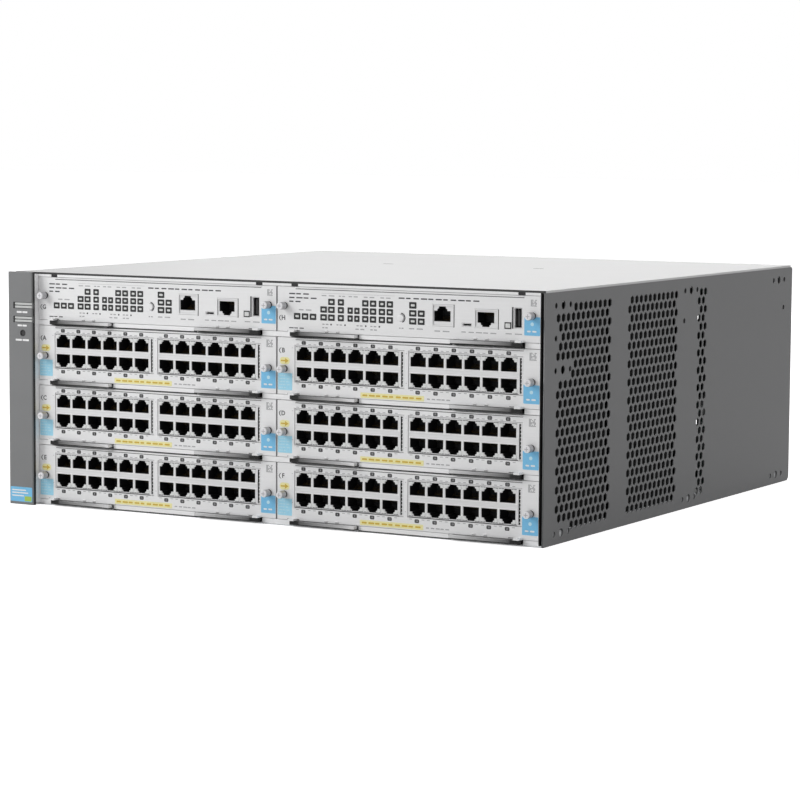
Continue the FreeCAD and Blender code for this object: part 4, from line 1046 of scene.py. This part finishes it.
def lamp_cells(piece, finishes):
    """Grid of black-framed indicator windows, each group on its own pale plate."""
    for x0, x1, rows, columns in LED_GROUPS:
        width = (x1 - x0 - LED_GAP * (columns - 1)) / columns
        top = LED_LOW + (rows - 1) * LED_PITCH + LED_H
        piece.slab(finishes.face, x0 - 0.6, x1 + 0.6, -0.05, 0.2, LED_LOW - 0.6, top + 0.6)
        for column in range(columns):
            for row in range(rows):
                xa = x0 + column * (width + LED_GAP)
                za = LED_LOW + row * LED_PITCH
                frame_loop = rounded_rect(xa, xa + width, za, za + LED_H, 0.5, 2)
                lamp_loop = rounded_rect(xa + 1.4, xa + width - 1.4, za + 1.5, za + LED_H - 1.5,
                                         0.3, 1)
                piece.prism(finishes.dark, frame_loop, -0.11, 0.1)
                piece.prism(finishes.lamp, lamp_loop, -0.17, 0.0)


def framed_jack(piece, finishes, x, z, up, window):
    """Single jack in a bright folded shell, seen in its window."""
    x0, x1, z0, z1 = window
    front = PORT_FACE
    rim = rect(*window)
    opening = jack_loop(x, z, up, FRAMED_SIZE)
    piece.sheet(finishes.shell, rim, [opening], front, front + SHELL)
    jack_inside(piece, finishes, x, z, up, front + SHELL, FRAMED_SIZE)
    # Painted shade: a dark strip down the window's right side.
    piece.slab(finishes.ink, x1 - 0.1, x1 + 0.55, -0.06, 0.0, z0 - 0.6, z1 + 0.3)
    inner = rect(x0 + 0.7, x1 - 0.7, z0 + 0.7, z1 - 0.7)
    piece.sheet(finishes.face, rim, [inner], -0.35, front)
    open_box(piece, finishes.shell, window, front + SHELL, front + FRAMED_DEPTH)


def usb_socket(piece, finishes, window, tongue):
    """Serial bus socket: shell, dark inside and the tongue with its contacts."""
    x0, x1, z0, z1 = window
    hole = rect(x0 + 0.4, x1 - 0.4, z0 + 0.4, z1 - 0.4)
    piece.sheet(finishes.shell, rect(*window), [hole], 0.0, 4.0)
    piece.slab(finishes.black, x0 + 0.3, x1 - 0.3, 3.9, 17.9, z0 + 0.3, z1 - 0.3)
    xa, xb, za, zb = tongue
    piece.slab(finishes.black, xa, xb, 1.4, 4.0, za, zb, 0.2)
    if zb - za > 6:
        for i in range(4):
            z = za + 1.4 + i * (zb - za - 2.8) / 3
            piece.slab(finishes.contact, xa - 0.06, xa, 1.9, 3.8, z - 0.35, z + 0.35)


# left end, right end, height on the face, letter height and words of each line of print
DARK_LINES = ((9.6, 27.0, 30.4, 0.9, 3), (9.6, 33.4, 27.6, 0.9, 4), (9.6, 20.0, 24.9, 0.9, 2),
              (98.6, 162.9, 30.2, 0.9, 11), (9.6, 22.6, 6.2, 0.7, 3))
GREY_LINES = ((17.6, 29.2, 19.2, 0.8, 2), (36.4, 48.0, 29.8, 0.7, 2), (50.4, 56.0, 29.8, 0.7, 2),
              (58.4, 66.6, 29.8, 0.7, 2), (70.6, 80.0, 29.8, 0.7, 2), (84.0, 93.0, 29.8, 0.7, 2),
              (37.0, 42.6, 9.7, 0.8, 2), (48.6, 53.6, 9.7, 0.8, 2), (64.8, 70.4, 9.7, 0.8, 2),
              (76.0, 81.4, 9.7, 0.8, 2), (37.0, 42.0, 7.3, 0.8, 2), (64.0, 72.0, 7.3, 0.8, 2),
              (76.0, 82.0, 7.3, 0.8, 2), (107.0, 119.0, 9.4, 0.8, 2),
              (99.0, 103.0, 9.4, 0.8, 2), (127.0, 140.0, 8.6, 0.8, 2),
              (148.0, 176.0, 8.8, 0.7, 5), (182.0, 196.0, 9.0, 0.7, 2))


def management_print(piece, finishes, proud):
    """Print, labels and marks of a management module, and a crescent of painted shade by its
    button.
    """
    for finish, lines in ((finishes.ink, DARK_LINES), (finishes.grey_ink, GREY_LINES)):
        for x0, x1, z, height, words in lines:
            text_bar(piece, finish, x0, x1, z, height, -proud, 0.0, words)
    piece.slab(finishes.grey_ink, 36.3, 95.6, -proud, 0.0, 31.4, 31.55)
    for x in (44.2, 55.6, 72.4, 83.3):
        piece.prism(finishes.ink, oval(x, 9.7, 0.65, 0.65, 10), -proud, 0.0)
    blue_label(piece, finishes, 196.2, 208.2, 8.4, 21.0, proud, True)
    # Painted shade: a dark crescent on the right side of the button.
    arc = [math.radians(-70 + 16 * i) for i in range(11)]
    for a, b in zip(arc, arc[1:]):
        quad = [(100.6 + r * math.cos(t), 16.6 + r * math.sin(t))
                for r, t in ((2.75, a), (3.5, a), (3.5, b), (2.75, b))]
        piece.prism(finishes.ink, quad, -proud, 0.0)
    piece.slab(finishes.ink, 186.7, 187.86, -proud, 0.0, 12.6, 27.2)
    code_print(piece, finishes, 201.0, 28.2, 4.6, proud)


class SWITCH_OT_management(bpy.types.Operator):
    """Management modules: face, indicator windows, sockets, print and button"""

    bl_idname = "switch.management"
    bl_label = "Management modules"

    def execute(self, context):
        finishes = kit()
        proud = context.scene.switch_sizes.label_proud / MM
        dress([name + "_carrier" for name in MGMT_MODULES], finishes.face)
        dress([name + "_button" for name in MGMT_MODULES], finishes.face, 0.0004)
        sockets = Piece()
        lamp_cells(sockets, finishes)
        for jack in FRAMED_JACKS:
            framed_jack(sockets, finishes, *jack)
        for window, tongue in USB_SOCKETS:
            usb_socket(sockets, finishes, window, tongue)
        sockets.prism(finishes.dark, rounded_rect(181.2, 186.2, 12.3, 16.7, 0.4), -0.06, 0.3)
        sockets.prism(finishes.lamp, rounded_rect(181.9, 185.5, 13.0, 16.0, 0.3), -0.14, 0.1)
        socket_mesh = sockets.as_mesh("management_sockets")
        printed = Piece()
        management_print(printed, finishes, proud)
        print_mesh = printed.as_mesh("management_print")
        trim_mesh = module_trim("management_trim", finishes, MGMT_TOP)
        for name in MGMT_MODULES:
            put(name + "_sockets", socket_mesh, name, module_corner(name),
                [name + "_ports"])
            put_face(name, finishes, proud, print_mesh, trim_mesh, MGMT_MARK_Z)
        return {"FINISHED"}


# ---- levers, boards and rear units -----------------------------------------------------------
class SWITCH_OT_levers(bpy.types.Operator):
    """Ejector levers and the circuit boards behind the faces"""

    bl_idname = "switch.levers"
    bl_label = "Levers and boards"

    def execute(self, context):
        finishes = kit()
        levers = [name + "_lever_" + side for name in MODULES for side in ("left", "right")]
        dress(levers, finishes.lever, 0.0004)
        dress([name + "_board" for name in MODULES], finishes.board)
        return {"FINISHED"}


class SWITCH_OT_rear_units(bpy.types.Operator):
    """Fan tray, fans, power supplies and their latches"""

    bl_idname = "switch.rear_units"
    bl_label = "Rear units"

    def execute(self, context):
        finishes = kit()
        edge = context.scene.switch_sizes.edge
        dress(["fan_tray"], finishes.steel)
        dress(["psu_lower", "psu_upper"], finishes.supply)
        dress(["fan_left", "fan_right", "psu_lower_fan", "psu_upper_fan"], finishes.fan, edge)
        dress(["psu_lower_latch", "psu_upper_latch"], finishes.latch, edge)
        return {"FINISHED"}


# ---- stage -----------------------------------------------------------------------------------
# place, point that it faces, size and power of each light
LIGHTS = {"front_light": ((-1.05, -1.2, 0.95), (-0.05, -0.2, 0.09), (1.0, 0.9), 14),
          "top_light": ((0.55, 0.45, 1.4), (0.1, 0.1, 0.17), (1.0, 1.0), 5),
          "side_light": ((2.4, -0.3, 0.9), (0.1, 0, 0.08), (1.4, 1.0), 2.5),
          "back_light": ((-1.0, 2.3, 1.2), (0, 0, 0.08), (1.6, 1.2), 12)}
# camera: place, degrees round, down and rolled, and focal length in millimetres
CAMERA_PLACE = (1.0742, -1.9180, 0.2831)
CAMERA_TURN = (29.707, 5.531, 0.329)
CAMERA_LENS = 127.04
FLOOR_DROP = 0.0002


def area_light(name, place, target, size, power):
    lamp = bpy.data.lights.new(name, "AREA")
    lamp.shape = "RECTANGLE"
    lamp.size, lamp.size_y = size
    lamp.energy = power
    light = bpy.data.objects.new(name, lamp)
    bpy.context.collection.objects.link(light)
    light.location = place
    light.rotation_euler = (Vector(target) - Vector(place)).to_track_quat("-Z", "Y").to_euler()


class SWITCH_OT_stage(bpy.types.Operator):
    """Pale floor, soft lights and the camera"""

    bl_idname = "switch.stage"
    bl_label = "Stage"

    def execute(self, context):
        scene = context.scene
        scene.view_settings.view_transform = "Standard"
        self.world(scene)
        self.floor()
        for name, setting in LIGHTS.items():
            area_light(name, *setting)
        self.camera(scene)
        return {"FINISHED"}

    @staticmethod
    def world(scene):
        world = bpy.data.worlds.new("studio")
        scene.world = world
        world.use_nodes = True
        tree = world.node_tree
        background = tree.nodes["Background"]
        background.inputs["Color"].default_value = (1.0, 1.0, 1.0, 1.0)
        path = tree.nodes.new("ShaderNodeLightPath")
        seen = tree.nodes.new("ShaderNodeMath")
        seen.operation = "MAXIMUM"
        tree.links.new(path.outputs["Is Camera Ray"], seen.inputs[0])
        tree.links.new(path.outputs["Is Glossy Ray"], seen.inputs[1])
        clear = tree.nodes.new("ShaderNodeMath")
        clear.operation = "MAXIMUM"
        tree.links.new(seen.outputs[0], clear.inputs[0])
        tree.links.new(path.outputs["Is Transmission Ray"], clear.inputs[1])
        strength = tree.nodes.new("ShaderNodeMapRange")
        strength.inputs["To Min"].default_value = 0.34
        strength.inputs["To Max"].default_value = 1.0
        tree.links.new(clear.outputs[0], strength.inputs["Value"])
        tree.links.new(strength.outputs[0], background.inputs["Strength"])

    @staticmethod
    def floor():
        mesh = bmesh.new()
        bmesh.ops.create_grid(mesh, x_segments=4, y_segments=4, size=12.0)
        data = bpy.data.meshes.new("floor")
        mesh.to_mesh(data)
        mesh.free()
        finish = Finish("floor_paper", roughness=0.8)
        grain = finish.noise(40.0, 3.0)
        tone = finish.blend(grain, (0.93, 0.93, 0.93), (0.95, 0.95, 0.95))
        path = finish.add("ShaderNodeLightPath", {}, {}, "Is Camera Ray")
        data.materials.append(finish.feed(
            base_color=tone, emission_strength=0.75,
            emission_color=finish.blend(path, (0, 0, 0), (1, 1, 1))))
        floor = bpy.data.objects.new("floor", data)
        bpy.context.collection.objects.link(floor)
        floor.location.z = -FLOOR_DROP

    @staticmethod
    def camera(scene):
        azimuth, elevation, roll = (math.radians(a) for a in CAMERA_TURN)
        forward = Vector((-math.sin(azimuth) * math.cos(elevation),
                          math.cos(azimuth) * math.cos(elevation), -math.sin(elevation)))
        right = forward.cross(Vector((0, 0, 1))).normalized()
        up = right.cross(forward)
        rolled_right = right * math.cos(roll) + up * math.sin(roll)
        rolled_up = up * math.cos(roll) - right * math.sin(roll)
        lens = bpy.data.cameras.new("camera")
        lens.lens = CAMERA_LENS
        lens.sensor_width = 36.0
        lens.clip_end = 60.0
        camera = bpy.data.objects.new("camera", lens)
        scene.collection.objects.link(camera)
        matrix = Matrix((rolled_right, rolled_up, -forward)).transposed().to_4x4()
        matrix.translation = Vector(CAMERA_PLACE)
        camera.matrix_world = matrix
        scene.camera = camera


# ---- panel and start -------------------------------------------------------------------------
PIECES = (SWITCH_OT_side_panels, SWITCH_OT_chassis, SWITCH_OT_bezel, SWITCH_OT_line_ports,
          SWITCH_OT_line_faces, SWITCH_OT_management, SWITCH_OT_levers, SWITCH_OT_rear_units,
          SWITCH_OT_stage)


class SWITCH_PT_panel(bpy.types.Panel):
    """Sizes, colours and pieces of the switch"""

    bl_idname = "SWITCH_PT_panel"
    bl_label = "Modular chassis switch"
    bl_space_type = "VIEW_3D"
    bl_region_type = "UI"
    bl_category = "Switch"

    def draw(self, context):
        scene = context.scene
        for group in (scene.switch_colors, scene.switch_sizes):
            for key in group.__annotations__:
                self.layout.prop(group, key)
        for piece in PIECES:
            self.layout.operator(piece.bl_idname)


CLASSES = (SwitchColors, SwitchSizes) + PIECES + (SWITCH_PT_panel,)


def register():
    for cls in CLASSES:
        bpy.utils.register_class(cls)
    bpy.types.Scene.switch_colors = bpy.props.PointerProperty(type=SwitchColors)
    bpy.types.Scene.switch_sizes = bpy.props.PointerProperty(type=SwitchSizes)


def unregister():
    del bpy.types.Scene.switch_sizes
    del bpy.types.Scene.switch_colors
    for cls in reversed(CLASSES):
        bpy.utils.unregister_class(cls)


def main():
    register()
    for piece in PIECES:
        group, name = piece.bl_idname.split(".")
        getattr(getattr(bpy.ops, group), name)()


if __name__ == "__main__":
    main()
